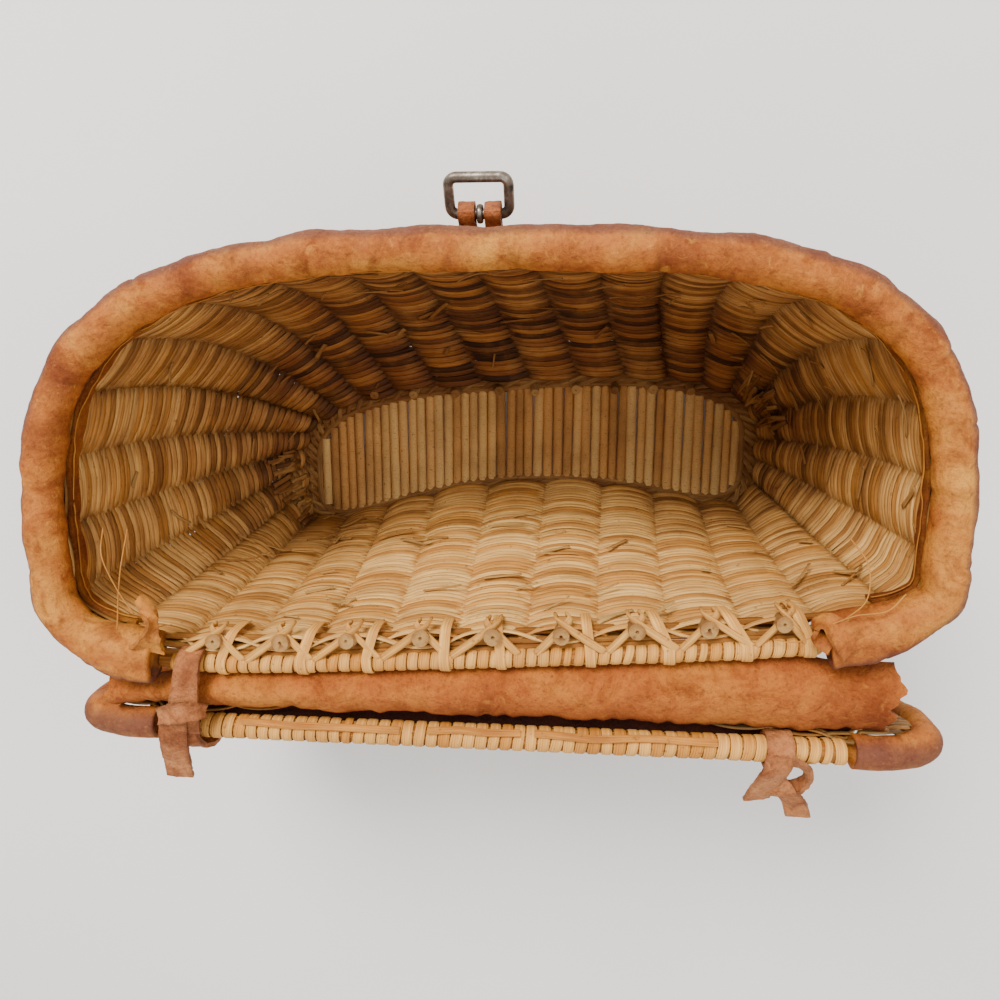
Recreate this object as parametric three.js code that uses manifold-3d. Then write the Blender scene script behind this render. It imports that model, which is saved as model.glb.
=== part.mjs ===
// Wicker fishing creel with a leather-bound mouth, its lid hanging open at the back
// Millimetres, +Z up; the front with the buckle faces -Y and the hinge side faces +Y
// Origin: on the flat base, in the plane of the surface that the creel stands on

import * as THREE from 'three';
import { mergeVertices } from 'three/addons/utils/BufferGeometryUtils.js';
import Module from 'manifold-3d';

const wasm = await Module();
wasm.setup();

// Clearance between pieces that touch on the real creel
const SEAT_GAP = 0.3;

// Facets of round outlines, round bars and knots
const CURVE_SEGMENTS = 12;
const BAR_SIDES = 10;
const RING_SIDES = 14;

// Woven body: sizes of its wall's middle line, measured from where it is widest
const MOUTH_HALF_WIDTH = 179;
const MOUTH_WIDEST_Y = 31.5;
const MOUTH_FRONT = 119.5;
const MOUTH_BACK = 34.5;
const FOOT_HALF_WIDTH = 138;
const FOOT_MIDDLE_X = -10;
const FOOT_WIDEST_Y = 16;
const FOOT_FRONT = 47;
const FOOT_BACK = 49;
const FOOT_BACK_DIP = 31;
const FOOT_HEIGHT = 6;
const WALL_OVER_STAKE = 9;
const WALL_BETWEEN_STAKES = 5.5;
const STAKE_PITCH = 29.7;
const MIDDLE_STAKE_X = -5.5;
const BACK_STAKES = 9;
const STAKE_RADIUS = 3.8;
const STAKE_STUB = 5;
const STAKE_LEAN_IN = 0.8;

// Base panel of split sticks
const PANEL_HALF_WIDTH = 127;
const PANEL_FRONT = 40;
const PANEL_BACK = 40;
const PANEL_BACK_DIP = 27;
const PANEL_THICKNESS = 6;
const STICK_PITCH = 5.6;
const STICK_GROOVE = 1.4;

// Leather roll round the mouth
const RIM_HEIGHT = 181;
const RIM_RADIUS = 8.8;
const RIM_END_X = 137;
const RIM_END_DROP = 1;
const RIM_END_OUT = 10;

// Cane-wrapped rod along the back of the mouth
const BACK_ROD_RADIUS = 4.2;
const BACK_ROD_HEIGHT = 174.5;
const BACK_WALL_OVER_ROD = 0.5;
const BACK_WALL_TOP = BACK_ROD_HEIGHT + BACK_WALL_OVER_ROD;

// Lid, hanging open from its own rod
const LID_ROD_RADIUS = 5.5;
const LID_ROD_HEIGHT = 170;
const LID_ROD_Y = 113;
const LID_ROD_HALF_LENGTH = 147;
const LID_SHIFT_X = -6;
const LID_HALF_WIDTH = 184;
const LID_LENGTH = 166.5;
const LID_CORNER = 13;
const LID_THICKNESS = 5;
const LID_DOME = 13;
const LID_POWER = 2.5;
const LID_RIM_RADIUS = 6;

// Leather flap over the gap between body and lid
const FLAP_LEFT_X = 163;
const FLAP_RIGHT_X = -169;
const FLAP_THICKNESS = 2.2;
const FLAP_CROWN = 9;
const FLAP_OVER_LID_ROD = 2;
const FLAP_UNDER_BACK_ROD = 3.5;
const FLAP_FAR_HEIGHT = LID_ROD_HEIGHT + FLAP_OVER_LID_ROD;
const FLAP_NEAR_HEIGHT = BACK_ROD_HEIGHT - FLAP_UNDER_BACK_ROD;
const FLAP_END_CLEARANCE = 3.5;
const FLAP_HEM_TURN = 1.5;

// Leather ties
const TIE_THICKNESS = 2;
const TIE_SLACK = 1.2;
const TIE_HEADROOM = 3;
const LEFT_TIE_X = 122.5;
const LEFT_TIE_WIDTH = 10.5;
const LEFT_TAIL_X = 131.5;
const LEFT_TAIL_WIDTH = 12;
const LEFT_KNOT_X = 126.5;
const LEFT_KNOT_LENGTH = 19;
const LEFT_KNOT_RADIUS = 3.6;
const LEFT_KNOT_SHARE = 0.62;
const RIGHT_TIE_X = -125.5;
const RIGHT_TIE_WIDTH = 11;
const RIGHT_STRAP_X = -122.5;
const RIGHT_TAIL_X = -136.5;
const RIGHT_TAIL_WIDTH = 10;
const RIGHT_KNOT_X = -128.5;
const RIGHT_KNOT_LENGTH = 24;
const RIGHT_KNOT_RADIUS = 4;
const RIGHT_KNOT_OUT = 12;
const RIGHT_KNOT_DROP = 9.5;

// Courses of the ties' loose ends, from the knot or rod outwards
const LEFT_TAIL_COURSE = [
  { out: 0, rise: 1.4 }, { out: 6, rise: 1.8 }, { out: 13, rise: 0.6 },
  { out: 25, rise: -3.4 }, { out: 36, rise: -9 },
];
const RIGHT_STRAP_COURSE = [
  { out: 0, rise: 0 }, { out: 6, rise: -3 }, { out: 13, rise: -8 }, { out: 20, rise: -12 },
];
const RIGHT_TAIL_COURSE = [
  { out: 8, rise: -7.5 }, { out: 16, rise: -11 }, { out: 24, rise: -14 }, { out: 34, rise: -17 },
];

// Course of the left tie over the flap, from the body's rod to the lid's rod
const LEFT_OVER_COURSE = [
  { share: 0.03, rise: -3.5 }, { share: 0.11, rise: -0.8 },
  { share: 0.45, rise: 0 }, { share: 0.67, rise: -0.6 },
];
const LEFT_UNDER_COURSE = [
  { share: 0.66, rise: -0.5 }, { share: 0.32, rise: 0 },
];

// Buckle at the front
const HEEL_BAR_Y = -102.6;
const HEEL_BAR_Z = 165;
const BUCKLE_X = -0.8;
const BUCKLE_WIDTH = 22.7;
const BUCKLE_REACH = 14.5;
const BUCKLE_WIRE_RADIUS = 2;
const BUCKLE_TILT = 35;
const BUCKLE_CORNER = 3;
const CHAPE_WIDTH = 16.4;
const CHAPE_THICKNESS = 2.4;
const CHAPE_LENGTH = 46;
const CHAPE_SLOT = 3.6;
const CHAPE_BEND_SHARE = 0.6;
const CHAPE_BEND_DROP = 6.5;
const CHAPE_LAY_DROP = 14;
const PRONG_RING_WIDTH = 2.6;
const PRONG_WIRE = 1.4;
const PRONG_TAPER = 0.7;
const PRONG_REACH = 15.5;
const PRONG_HANG = 12;

// Plans of the creel seen from above, and how each one strays from a plain oval
const MOUTH_PLAN = {
  halfWidth: MOUTH_HALF_WIDTH, middleX: 0, widestY: MOUTH_WIDEST_Y,
  front: MOUTH_FRONT, back: MOUTH_BACK, dip: 0,
  leftPower: 2.9, rightPower: 3.5, backPower: 4.4, skew: 0.34, shear: 0,
};
const FOOT_PLAN = {
  halfWidth: FOOT_HALF_WIDTH, middleX: FOOT_MIDDLE_X, widestY: FOOT_WIDEST_Y,
  front: FOOT_FRONT, back: FOOT_BACK, dip: FOOT_BACK_DIP,
  leftPower: 2.9, rightPower: 2.9, backPower: 5, skew: 0, shear: 0.06,
};
const PANEL_PLAN = {
  halfWidth: PANEL_HALF_WIDTH, middleX: FOOT_MIDDLE_X, widestY: FOOT_WIDEST_Y,
  front: PANEL_FRONT, back: PANEL_BACK, dip: PANEL_BACK_DIP,
  leftPower: 2.9, rightPower: 2.9, backPower: 5, skew: 0, shear: 0.06,
};

// How the stakes crowd together at the foot: at both ends, and at the front
const CROWDING_AT_ENDS = 0.5;
const CROWDING_AT_FRONT = 0.13;

// How fast the wall swells out from the foot: the front is the round belly
const FRONT_BULGE = 4.4;
const SIDE_BULGE = 2.5;
const BACK_BULGE = 1.3;

// Distance inside the roll's ends over which the back wall rises to its full height
const BACK_RISE_START = 9;
const BACK_RISE_END = 12;

// Heights of the wall's rows, as shares of the way from foot to top
const WALL_ROWS = [0, 0.05, 0.12, 0.22, 0.36, 0.54, 0.76, 1];

function mix(a, b, share) {
  return a + (b - a) * share;
}

function smoothstep(low, high, value) {
  return THREE.MathUtils.smoothstep(value, low, high);
}

function planPoint(plan, angle) {
  const across = Math.cos(angle);
  const along = Math.sin(angle);
  const frontPower = across > 0 ? plan.leftPower : plan.rightPower;
  const power = along < 0 ? frontPower : plan.backPower;
  const spread = (Math.abs(across) ** power + Math.abs(along) ** power) ** (1 / power);
  const share = across / spread;
  const reach = Math.abs(along) / spread;
  const x = plan.middleX + plan.halfWidth * share;
  const depth = along < 0 ? -plan.front : (plan.back - plan.dip * (1 - share ** 2)) * (1 + plan.skew * share);
  return new THREE.Vector2(x, plan.widestY + depth * reach + plan.shear * x);
}

// Angle on the back of a plan at which it reaches the given x
function backAngle(plan, x) {
  const share = (x - plan.middleX) / plan.halfWidth;
  const reach = (1 - Math.abs(share) ** plan.backPower) ** (1 / plan.backPower);
  return Math.atan2(reach, share);
}

// Outward direction of a plan, level
function planNormal(plan, angle) {
  const step = 0.002;
  const before = planPoint(plan, angle - step);
  const after = planPoint(plan, angle + step);
  const tangent = after.sub(before);
  return new THREE.Vector2(tangent.y, -tangent.x).normalize();
}

// A walk once round a plan from its middle back stake, as shares of the whole way
class PlanWalk {
  constructor(plan) {
    this.samples = 2400;
    this.start = backAngle(plan, MIDDLE_STAKE_X);
    this.lengths = [0];
    let before = planPoint(plan, this.start);
    for (let i = 1; i <= this.samples; i += 1) {
      const next = planPoint(plan, this.start + 2 * Math.PI * i / this.samples);
      this.lengths.push(this.lengths[i - 1] + next.distanceTo(before));
      before = next;
    }
    this.total = this.lengths[this.samples];
  }

  angleAt(share) {
    const wanted = this.total * THREE.MathUtils.clamp(share, 0, 1);
    let index = 0;
    while (index + 1 < this.samples && this.lengths[index + 1] < wanted) index += 1;
    const step = this.lengths[index + 1] - this.lengths[index];
    const part = (wanted - this.lengths[index]) / step;
    return this.start + 2 * Math.PI * (index + part) / this.samples;
  }

  shareAt(angle) {
    const turns = (angle - this.start) / (2 * Math.PI);
    const place = (turns - Math.floor(turns)) * this.samples;
    const index = Math.min(this.samples - 1, Math.floor(place));
    return mix(this.lengths[index], this.lengths[index + 1], place - index) / this.total;
  }
}

const MOUTH_WALK = new PlanWalk(MOUTH_PLAN);
const FOOT_WALK = new PlanWalk(FOOT_PLAN);
const STAKE_COUNT = Math.round(MOUTH_WALK.total / STAKE_PITCH);

// Angles of the stakes round the mouth, with one angle between each two stakes
const STAKE_ANGLES = [];
for (let k = 0; k < 2 * STAKE_COUNT; k += 1) {
  STAKE_ANGLES.push(MOUTH_WALK.angleAt(k / (2 * STAKE_COUNT)));
}

// Where a stake at this angle of the mouth stands in the foot
function footPoint(plan, angle) {
  const turn = 2 * Math.PI * MOUTH_WALK.shareAt(angle);
  const crowded = CROWDING_AT_ENDS * Math.sin(2 * turn) / 2 + CROWDING_AT_FRONT * Math.sin(turn);
  return planPoint(plan, FOOT_WALK.angleAt((turn + crowded) / (2 * Math.PI)));
}

// 0 round the front, 1 where the leather roll ends beside the back rod
const ROLL_END_START = 0.5;
const ROLL_END_FULL = 0.8;

function rollEndShare(angle) {
  return smoothstep(ROLL_END_START, ROLL_END_FULL, Math.sin(angle));
}

function rollHeight(angle) {
  return RIM_HEIGHT - RIM_END_DROP * rollEndShare(angle);
}

function wallTop(angle) {
  const underRoll = rollHeight(angle) - RIM_RADIUS - SEAT_GAP;
  if (Math.sin(angle) <= 0) return underRoll;
  const x = planPoint(MOUTH_PLAN, angle).x;
  const raised = 1 - smoothstep(RIM_END_X - BACK_RISE_END, RIM_END_X - BACK_RISE_START, Math.abs(x));
  return mix(underRoll, BACK_WALL_TOP, raised);
}

function bulge(angle) {
  const along = Math.sin(angle);
  return along < 0 ? mix(SIDE_BULGE, FRONT_BULGE, -along) : mix(SIDE_BULGE, BACK_BULGE, along);
}

function wallMiddle(angle, height) {
  const foot = footPoint(FOOT_PLAN, angle);
  const mouth = planPoint(MOUTH_PLAN, angle);
  const out = 1 - (1 - height) ** bulge(angle);
  return new THREE.Vector3(
    mix(foot.x, mouth.x, out),
    mix(foot.y, mouth.y, out),
    mix(FOOT_HEIGHT, wallTop(angle), height),
  );
}

function wallNormal(angle, height) {
  const turn = 0.004;
  const rise = 0.004;
  const low = Math.max(0, height - rise);
  const high = Math.min(1, height + rise);
  const round = wallMiddle(angle + turn, height).sub(wallMiddle(angle - turn, height));
  const up = wallMiddle(angle, high).sub(wallMiddle(angle, low));
  return round.cross(up).normalize();
}

// Turns a geometry's faces outwards if they all point in
function facingOut(geometry) {
  const position = geometry.getAttribute('position');
  const index = geometry.getIndex().array;
  const a = new THREE.Vector3();
  const b = new THREE.Vector3();
  const c = new THREE.Vector3();
  let volume = 0;
  for (let i = 0; i < index.length; i += 3) {
    a.fromBufferAttribute(position, index[i]);
    b.fromBufferAttribute(position, index[i + 1]);
    c.fromBufferAttribute(position, index[i + 2]);
    volume += a.dot(b.cross(c));
  }
  if (volume < 0) {
    geometry.setIndex([...index].reverse());
  }
  return geometry;
}

function fromPointsAndFaces(points, faces) {
  const geometry = new THREE.BufferGeometry();
  geometry.setFromPoints(points);
  geometry.setIndex(faces);
  return facingOut(geometry);
}

// Closed skin over loops of equal length, whose last loop joins the first one
function ringOfLoops(loops) {
  const count = loops[0].length;
  const faces = [];
  loops.forEach((loop, i) => {
    const row = i * count;
    const nextRow = ((i + 1) % loops.length) * count;
    for (let k = 0; k < count; k += 1) {
      const nextK = (k + 1) % count;
      faces.push(row + k, row + nextK, nextRow + nextK);
      faces.push(row + k, nextRow + nextK, nextRow + k);
    }
  });
  return fromPointsAndFaces(loops.flat(), faces);
}

// Closed skin over loops of equal length, with a flat fan from a point at each end
function cappedLoops(loops, firstCentre, lastCentre) {
  const count = loops[0].length;
  const points = [...loops.flat(), firstCentre, lastCentre];
  const faces = [];
  for (let i = 0; i + 1 < loops.length; i += 1) {
    for (let k = 0; k < count; k += 1) {
      const nextK = (k + 1) % count;
      const row = i * count;
      faces.push(row + k, row + nextK, row + count + nextK);
      faces.push(row + k, row + count + nextK, row + count + k);
    }
  }
  const last = (loops.length - 1) * count;
  for (let k = 0; k < count; k += 1) {
    const nextK = (k + 1) % count;
    faces.push(points.length - 2, nextK, k);
    faces.push(points.length - 1, last + k, last + nextK);
  }
  return fromPointsAndFaces(points, faces);
}

// Closed skin over sections that are bands: outer points out, inner points back
function bandOfSections(sections) {
  const count = sections[0].length;
  const points = sections.flat();
  const faces = [];
  for (let i = 0; i + 1 < sections.length; i += 1) {
    for (let k = 0; k < count; k += 1) {
      const nextK = (k + 1) % count;
      const row = i * count;
      faces.push(row + k, row + nextK, row + count + nextK);
      faces.push(row + k, row + count + nextK, row + count + k);
    }
  }
  const last = (sections.length - 1) * count;
  for (let k = 0; k + 1 < count / 2; k += 1) {
    const far = count - 1 - k;
    faces.push(k, far, k + 1, far, far - 1, k + 1);
    faces.push(last + k, last + k + 1, last + far, last + far, last + k + 1, last + far - 1);
  }
  return fromPointsAndFaces(points, faces);
}

function toSolid(geometry) {
  const bare = geometry.clone();
  bare.deleteAttribute('normal');
  bare.deleteAttribute('uv');
  const merged = mergeVertices(bare, 1e-4);
  return new wasm.Manifold(new wasm.Mesh({
    numProp: 3,
    vertProperties: new Float32Array(merged.getAttribute('position').array),
    triVerts: new Uint32Array(merged.getIndex().array),
  }));
}

function toGeometry(solid) {
  const mesh = solid.getMesh();
  const geometry = new THREE.BufferGeometry();
  geometry.setAttribute('position', new THREE.BufferAttribute(mesh.vertProperties, 3));
  geometry.setIndex(new THREE.BufferAttribute(mesh.triVerts, 1));
  return geometry;
}

function boxBetween(low, high) {
  const box = new THREE.BoxGeometry(high[0] - low[0], high[1] - low[1], high[2] - low[2]);
  return box.translate((low[0] + high[0]) / 2, (low[1] + high[1]) / 2, (low[2] + high[2]) / 2);
}

function sweep(points, radius, sides, steps) {
  const section = new THREE.Shape();
  for (let k = 0; k < sides; k += 1) {
    const turn = 2 * Math.PI * k / sides;
    const x = radius * Math.cos(turn);
    const y = radius * Math.sin(turn);
    if (k === 0) section.moveTo(x, y);
    else section.lineTo(x, y);
  }
  section.closePath();
  const path = new THREE.CatmullRomCurve3(points, false, 'centripetal');
  return new THREE.ExtrudeGeometry(section, { steps, extrudePath: path });
}

// A strap seen from its edge: the outline of a band of even thickness along a path
function strapOutline(path, thickness) {
  const outer = [];
  const inner = [];
  path.forEach((point, i) => {
    const before = path[Math.max(0, i - 1)];
    const after = path[Math.min(path.length - 1, i + 1)];
    const along = after.clone().sub(before).normalize();
    const side = new THREE.Vector2(along.y, -along.x).multiplyScalar(thickness / 2);
    outer.push(point.clone().add(side));
    inner.push(point.clone().sub(side));
  });
  return new THREE.Shape([...outer, ...inner.reverse()]);
}

// Extrudes an outline drawn in the Y-Z plane to a width along X, about a middle x
function acrossX(shape, middle, width) {
  const geometry = new THREE.ExtrudeGeometry(
    shape, { depth: width, bevelEnabled: false, curveSegments: CURVE_SEGMENTS },
  );
  const toYZ = new THREE.Matrix4().makeBasis(
    new THREE.Vector3(0, 1, 0), new THREE.Vector3(0, 0, 1), new THREE.Vector3(1, 0, 0),
  );
  return geometry.applyMatrix4(toYZ).translate(middle - width / 2, 0, 0);
}

function leather(color) {
  return new THREE.MeshStandardMaterial({ color, roughness: 0.75, metalness: 0 });
}

function cane(color) {
  return new THREE.MeshStandardMaterial({ color, roughness: 0.6, metalness: 0 });
}

function agedMetal() {
  return new THREE.MeshStandardMaterial({ color: 0x857a68, roughness: 0.4, metalness: 0.9 });
}

const creel = new THREE.Group();

function addPiece(name, geometry, material) {
  const mesh = new THREE.Mesh(geometry, material);
  mesh.name = name;
  creel.add(mesh);
}

// Body rod and roll follow the mouth's plan
function backRodPoint(x) {
  const angle = backAngle(MOUTH_PLAN, x);
  const out = WALL_OVER_STAKE / 2 + SEAT_GAP + BACK_ROD_RADIUS;
  const point = planPoint(MOUTH_PLAN, angle).addScaledVector(planNormal(MOUTH_PLAN, angle), out);
  return new THREE.Vector3(x, point.y, BACK_ROD_HEIGHT);
}

function rimPoint(angle) {
  const out = RIM_END_OUT * rollEndShare(angle);
  const point = planPoint(MOUTH_PLAN, angle).addScaledVector(planNormal(MOUTH_PLAN, angle), out);
  return new THREE.Vector3(point.x, point.y, rollHeight(angle));
}

// Room that the ties need to pass through the body's wall and the lid
const LEFT_TIE_ROOM = LEFT_TIE_WIDTH / 2 + SEAT_GAP;
const RIGHT_TIE_ROOM = RIGHT_TIE_WIDTH / 2 + SEAT_GAP;
const TIE_DEPTH = TIE_THICKNESS + 2 * SEAT_GAP + TIE_SLACK;

function wovenBody() {
  const outside = WALL_ROWS.map((height) => STAKE_ANGLES.map((angle, k) => {
    const half = (k % 2 === 0 ? WALL_OVER_STAKE : WALL_BETWEEN_STAKES) / 2;
    return wallMiddle(angle, height).addScaledVector(wallNormal(angle, height), half);
  }));
  const inside = WALL_ROWS.map((height) => STAKE_ANGLES.map((angle, k) => {
    const half = (k % 2 === 0 ? WALL_OVER_STAKE : WALL_BETWEEN_STAKES) / 2;
    return wallMiddle(angle, height).addScaledVector(wallNormal(angle, height), -half);
  }));
  outside[outside.length - 1].forEach((point, k) => { point.z = wallTop(STAKE_ANGLES[k]); });
  inside[inside.length - 1].forEach((point, k) => { point.z = wallTop(STAKE_ANGLES[k]); });
  const footOutside = outside[0].map((point) => new THREE.Vector3(point.x, point.y, 0));
  const panelRoom = { ...PANEL_PLAN };
  panelRoom.halfWidth += 2 * SEAT_GAP;
  panelRoom.front += 2 * SEAT_GAP;
  panelRoom.back += 2 * SEAT_GAP;
  const seat = STAKE_ANGLES.map((angle) => {
    const point = footPoint(panelRoom, angle);
    return new THREE.Vector3(point.x, point.y, PANEL_THICKNESS);
  });
  const footInside = seat.map((point) => new THREE.Vector3(point.x, point.y, 0));
  const loops = [footOutside, ...outside, ...inside.reverse(), seat, footInside];
  const rod = backRodPoint(LEFT_TIE_X);
  const slotFace = rod.y - BACK_ROD_RADIUS - TIE_DEPTH;
  const slot = boxBetween(
    [LEFT_TIE_X - LEFT_TIE_ROOM, slotFace, BACK_ROD_HEIGHT - BACK_ROD_RADIUS - TIE_DEPTH - TIE_HEADROOM],
    [LEFT_TIE_X + LEFT_TIE_ROOM, rod.y + BACK_ROD_RADIUS, RIM_HEIGHT],
  );
  return toGeometry(toSolid(ringOfLoops(loops)).subtract(toSolid(slot)));
}

function basePanel() {
  const outline = new THREE.Shape(STAKE_ANGLES.map((angle) => footPoint(PANEL_PLAN, angle)));
  const plate = new THREE.ExtrudeGeometry(outline, { depth: PANEL_THICKNESS, bevelEnabled: false });
  const sticks = Math.ceil(2 * PANEL_HALF_WIDTH / STICK_PITCH);
  const startX = -sticks * STICK_PITCH / 2;
  const ridges = new THREE.Shape();
  ridges.moveTo(startX, -STICK_GROOVE);
  for (let i = 0; i < sticks; i += 1) {
    const x = startX + i * STICK_PITCH;
    ridges.lineTo(x, PANEL_THICKNESS - STICK_GROOVE);
    ridges.lineTo(x + STICK_PITCH * 0.3, PANEL_THICKNESS);
    ridges.lineTo(x + STICK_PITCH * 0.7, PANEL_THICKNESS);
  }
  ridges.lineTo(-startX, PANEL_THICKNESS - STICK_GROOVE);
  ridges.lineTo(-startX, -STICK_GROOVE);
  const depth = 2 * (PANEL_FRONT + PANEL_BACK);
  const cutter = new THREE.ExtrudeGeometry(ridges, { depth, bevelEnabled: false });
  cutter.rotateX(Math.PI / 2).translate(FOOT_MIDDLE_X, depth / 2, 0);
  return toGeometry(toSolid(plate).intersect(toSolid(cutter)));
}

function rimLeather() {
  const start = backAngle(MOUTH_PLAN, RIM_END_X);
  const end = backAngle(MOUTH_PLAN, -RIM_END_X) - 2 * Math.PI;
  const points = [];
  const count = 60;
  for (let i = 0; i <= count; i += 1) {
    points.push(rimPoint(mix(start, end, i / count)));
  }
  return sweep(points, RIM_RADIUS, BAR_SIDES, 56);
}

function backRod() {
  const points = [];
  const reach = RIM_END_X - 2 * SEAT_GAP;
  for (let i = 0; i <= 8; i += 1) {
    points.push(backRodPoint(mix(-reach, reach, i / 8)));
  }
  return sweep(points, BACK_ROD_RADIUS, BAR_SIDES, 12);
}

function addStakeStubs() {
  const half = (BACK_STAKES - 1) / 2;
  for (let i = 0; i < BACK_STAKES; i += 1) {
    const steps = i - half;
    const angle = STAKE_ANGLES.at(2 * steps);
    const out = planNormal(MOUTH_PLAN, angle);
    const place = planPoint(MOUTH_PLAN, angle).addScaledVector(out, -STAKE_LEAN_IN);
    const stub = new THREE.CylinderGeometry(STAKE_RADIUS, STAKE_RADIUS, STAKE_STUB, BAR_SIDES);
    stub.rotateX(Math.PI / 2);
    stub.translate(place.x, place.y, BACK_WALL_TOP + SEAT_GAP + STAKE_STUB / 2);
    addPiece(`back_stake_${BACK_STAKES - i}`, stub, cane(0xd9b070));
  }
}

// The lid leans out until its curved edge stands on the same surface as the base
const LID_SETBACK = LID_ROD_RADIUS + SEAT_GAP + LID_THICKNESS / 2;
const LID_DROP = LID_ROD_HEIGHT - LID_RIM_RADIUS;
const LID_REACH = Math.hypot(LID_LENGTH, LID_SETBACK);
const LID_LEAN = Math.acos(Math.min(1, LID_DROP / LID_REACH)) + Math.atan2(LID_SETBACK, LID_LENGTH);

// A point of the lid: across it, down from its rod, and out of its inner side
function lidPoint(across, down, out) {
  const flat = new THREE.Vector3(across + LID_SHIFT_X, -LID_SETBACK + out, -down);
  flat.applyAxisAngle(new THREE.Vector3(1, 0, 0), LID_LEAN);
  return flat.add(new THREE.Vector3(0, LID_ROD_Y, LID_ROD_HEIGHT));
}

// The lid's edge line, from one end of the rod round to the other, as [across, down]
function lidEdge() {
  const half = [];
  const cornerSteps = 5;
  for (let i = 0; i <= cornerSteps; i += 1) {
    const turn = (Math.PI / 2) * i / cornerSteps;
    const across = LID_HALF_WIDTH - LID_CORNER + LID_CORNER * Math.sin(turn);
    half.push([across, LID_CORNER - LID_CORNER * Math.cos(turn)]);
  }
  const bowSteps = 14;
  const depth = LID_LENGTH - LID_CORNER;
  for (let i = 1; i <= bowSteps; i += 1) {
    const turn = (Math.PI / 2) * i / bowSteps;
    const across = Math.cos(turn);
    const down = Math.sin(turn);
    const spread = (across ** LID_POWER + down ** LID_POWER) ** (1 / LID_POWER);
    half.push([LID_HALF_WIDTH * across / spread, LID_CORNER + depth * down / spread]);
  }
  const other = half.slice(0, -1).reverse().map(([across, down]) => [-across, down]);
  return [...half, ...other];
}

// The edge line moved in by an even distance
function insetLidEdge(inset) {
  const edge = lidEdge();
  return edge.map(([across, down], i) => {
    const before = edge[Math.max(0, i - 1)];
    const after = edge[Math.min(edge.length - 1, i + 1)];
    const along = new THREE.Vector2(after[0] - before[0], after[1] - before[1]).normalize();
    if (i === 0 || i === edge.length - 1) along.set(1, 0);
    const inward = down < LID_CORNER ? inset : -inset;
    return [across - along.y * inset, down + Math.abs(along.x) * inward];
  });
}

function lidPanel() {
  const outline = insetLidEdge(LID_RIM_RADIUS + 2 * SEAT_GAP);
  const middle = [0, LID_LENGTH / 2];
  const shares = [1, 0.82, 0.6, 0.34];
  const side = (sign) => shares.map((share) => outline.map(([across, down]) => lidPoint(
    mix(middle[0], across, share),
    mix(middle[1], down, share),
    -LID_DOME * (1 - share ** 2) + sign * LID_THICKNESS / 2,
  )));
  const inner = side(1).reverse();
  const outer = side(-1);
  const crown = (sign) => lidPoint(middle[0], middle[1], -LID_DOME + sign * LID_THICKNESS / 2);
  const skin = toSolid(cappedLoops([...inner, ...outer], crown(1), crown(-1)));
  const underLidRod = LID_ROD_HEIGHT - LID_ROD_RADIUS;
  const underBothRods = Math.min(underLidRod, BACK_ROD_HEIGHT - BACK_ROD_RADIUS);
  const notchTop = Math.max(LID_ROD_HEIGHT, RIM_HEIGHT);
  const notch = (x, room, under) => boxBetween(
    [x - room, LID_ROD_Y - 2 * LID_SETBACK, under - TIE_DEPTH - TIE_HEADROOM],
    [x + room, LID_ROD_Y + LID_SETBACK, notchTop],
  );
  const left = toSolid(notch(LEFT_TIE_X, LEFT_TIE_ROOM, underBothRods));
  const right = toSolid(notch(RIGHT_TIE_X, RIGHT_TIE_ROOM, underLidRod));
  return toGeometry(skin.subtract(left).subtract(right));
}

function lidRim() {
  const points = lidEdge().map(([across, down]) => lidPoint(across, down, 0));
  return sweep(points, LID_RIM_RADIUS, BAR_SIDES, 60);
}

function lidRod() {
  const ends = [LID_SHIFT_X - LID_ROD_HALF_LENGTH, LID_SHIFT_X + LID_ROD_HALF_LENGTH];
  const points = ends.map((x) => new THREE.Vector3(x, LID_ROD_Y, LID_ROD_HEIGHT));
  return sweep(points, LID_ROD_RADIUS, BAR_SIDES, 4);
}

function hingeFlap() {
  const stations = 14;
  const folds = 7;
  const sections = [];
  for (let i = 0; i <= stations; i += 1) {
    const x = mix(FLAP_RIGHT_X, FLAP_LEFT_X, i / stations);
    const besideRod = THREE.MathUtils.clamp(x, -RIM_END_X, RIM_END_X);
    const rod = backRodPoint(besideRod);
    const pastEnd = smoothstep(RIM_END_X - BACK_RISE_END, RIM_END_X + RIM_RADIUS, Math.abs(x));
    const near = rod.y + BACK_ROD_RADIUS + SEAT_GAP + FLAP_END_CLEARANCE * pastEnd;
    const far = LID_ROD_Y - LID_ROD_RADIUS - LID_THICKNESS + FLAP_THICKNESS / 2;
    const outer = [];
    const inner = [];
    for (let k = 0; k < folds; k += 1) {
      const share = k / (folds - 1);
      const arch = Math.sin(Math.PI * share);
      const lift = Math.cos(Math.PI * share);
      const y = mix(near, far, share);
      const z = mix(FLAP_NEAR_HEIGHT, FLAP_FAR_HEIGHT, share) + FLAP_CROWN * arch;
      outer.push(new THREE.Vector3(x, y, z));
      const sink = FLAP_THICKNESS * arch + SEAT_GAP;
      inner.push(new THREE.Vector3(x, y + FLAP_HEM_TURN * lift, z - sink));
    }
    sections.push([...outer, ...inner.reverse()]);
  }
  return bandOfSections(sections);
}

function inYZ(list) {
  return list.map(([y, z]) => new THREE.Vector2(y, z));
}

// A loose strap along a course that starts at the given y and z
function tailStrap(course, startY, startZ, x, width) {
  const path = inYZ(course.map(({ out, rise }) => [startY + out, startZ + rise]));
  return toSolid(acrossX(strapOutline(path, TIE_THICKNESS), x, width));
}

function knotBar(radius, length) {
  return new THREE.CylinderGeometry(radius, radius, length, BAR_SIDES).rotateZ(Math.PI / 2);
}

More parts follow.
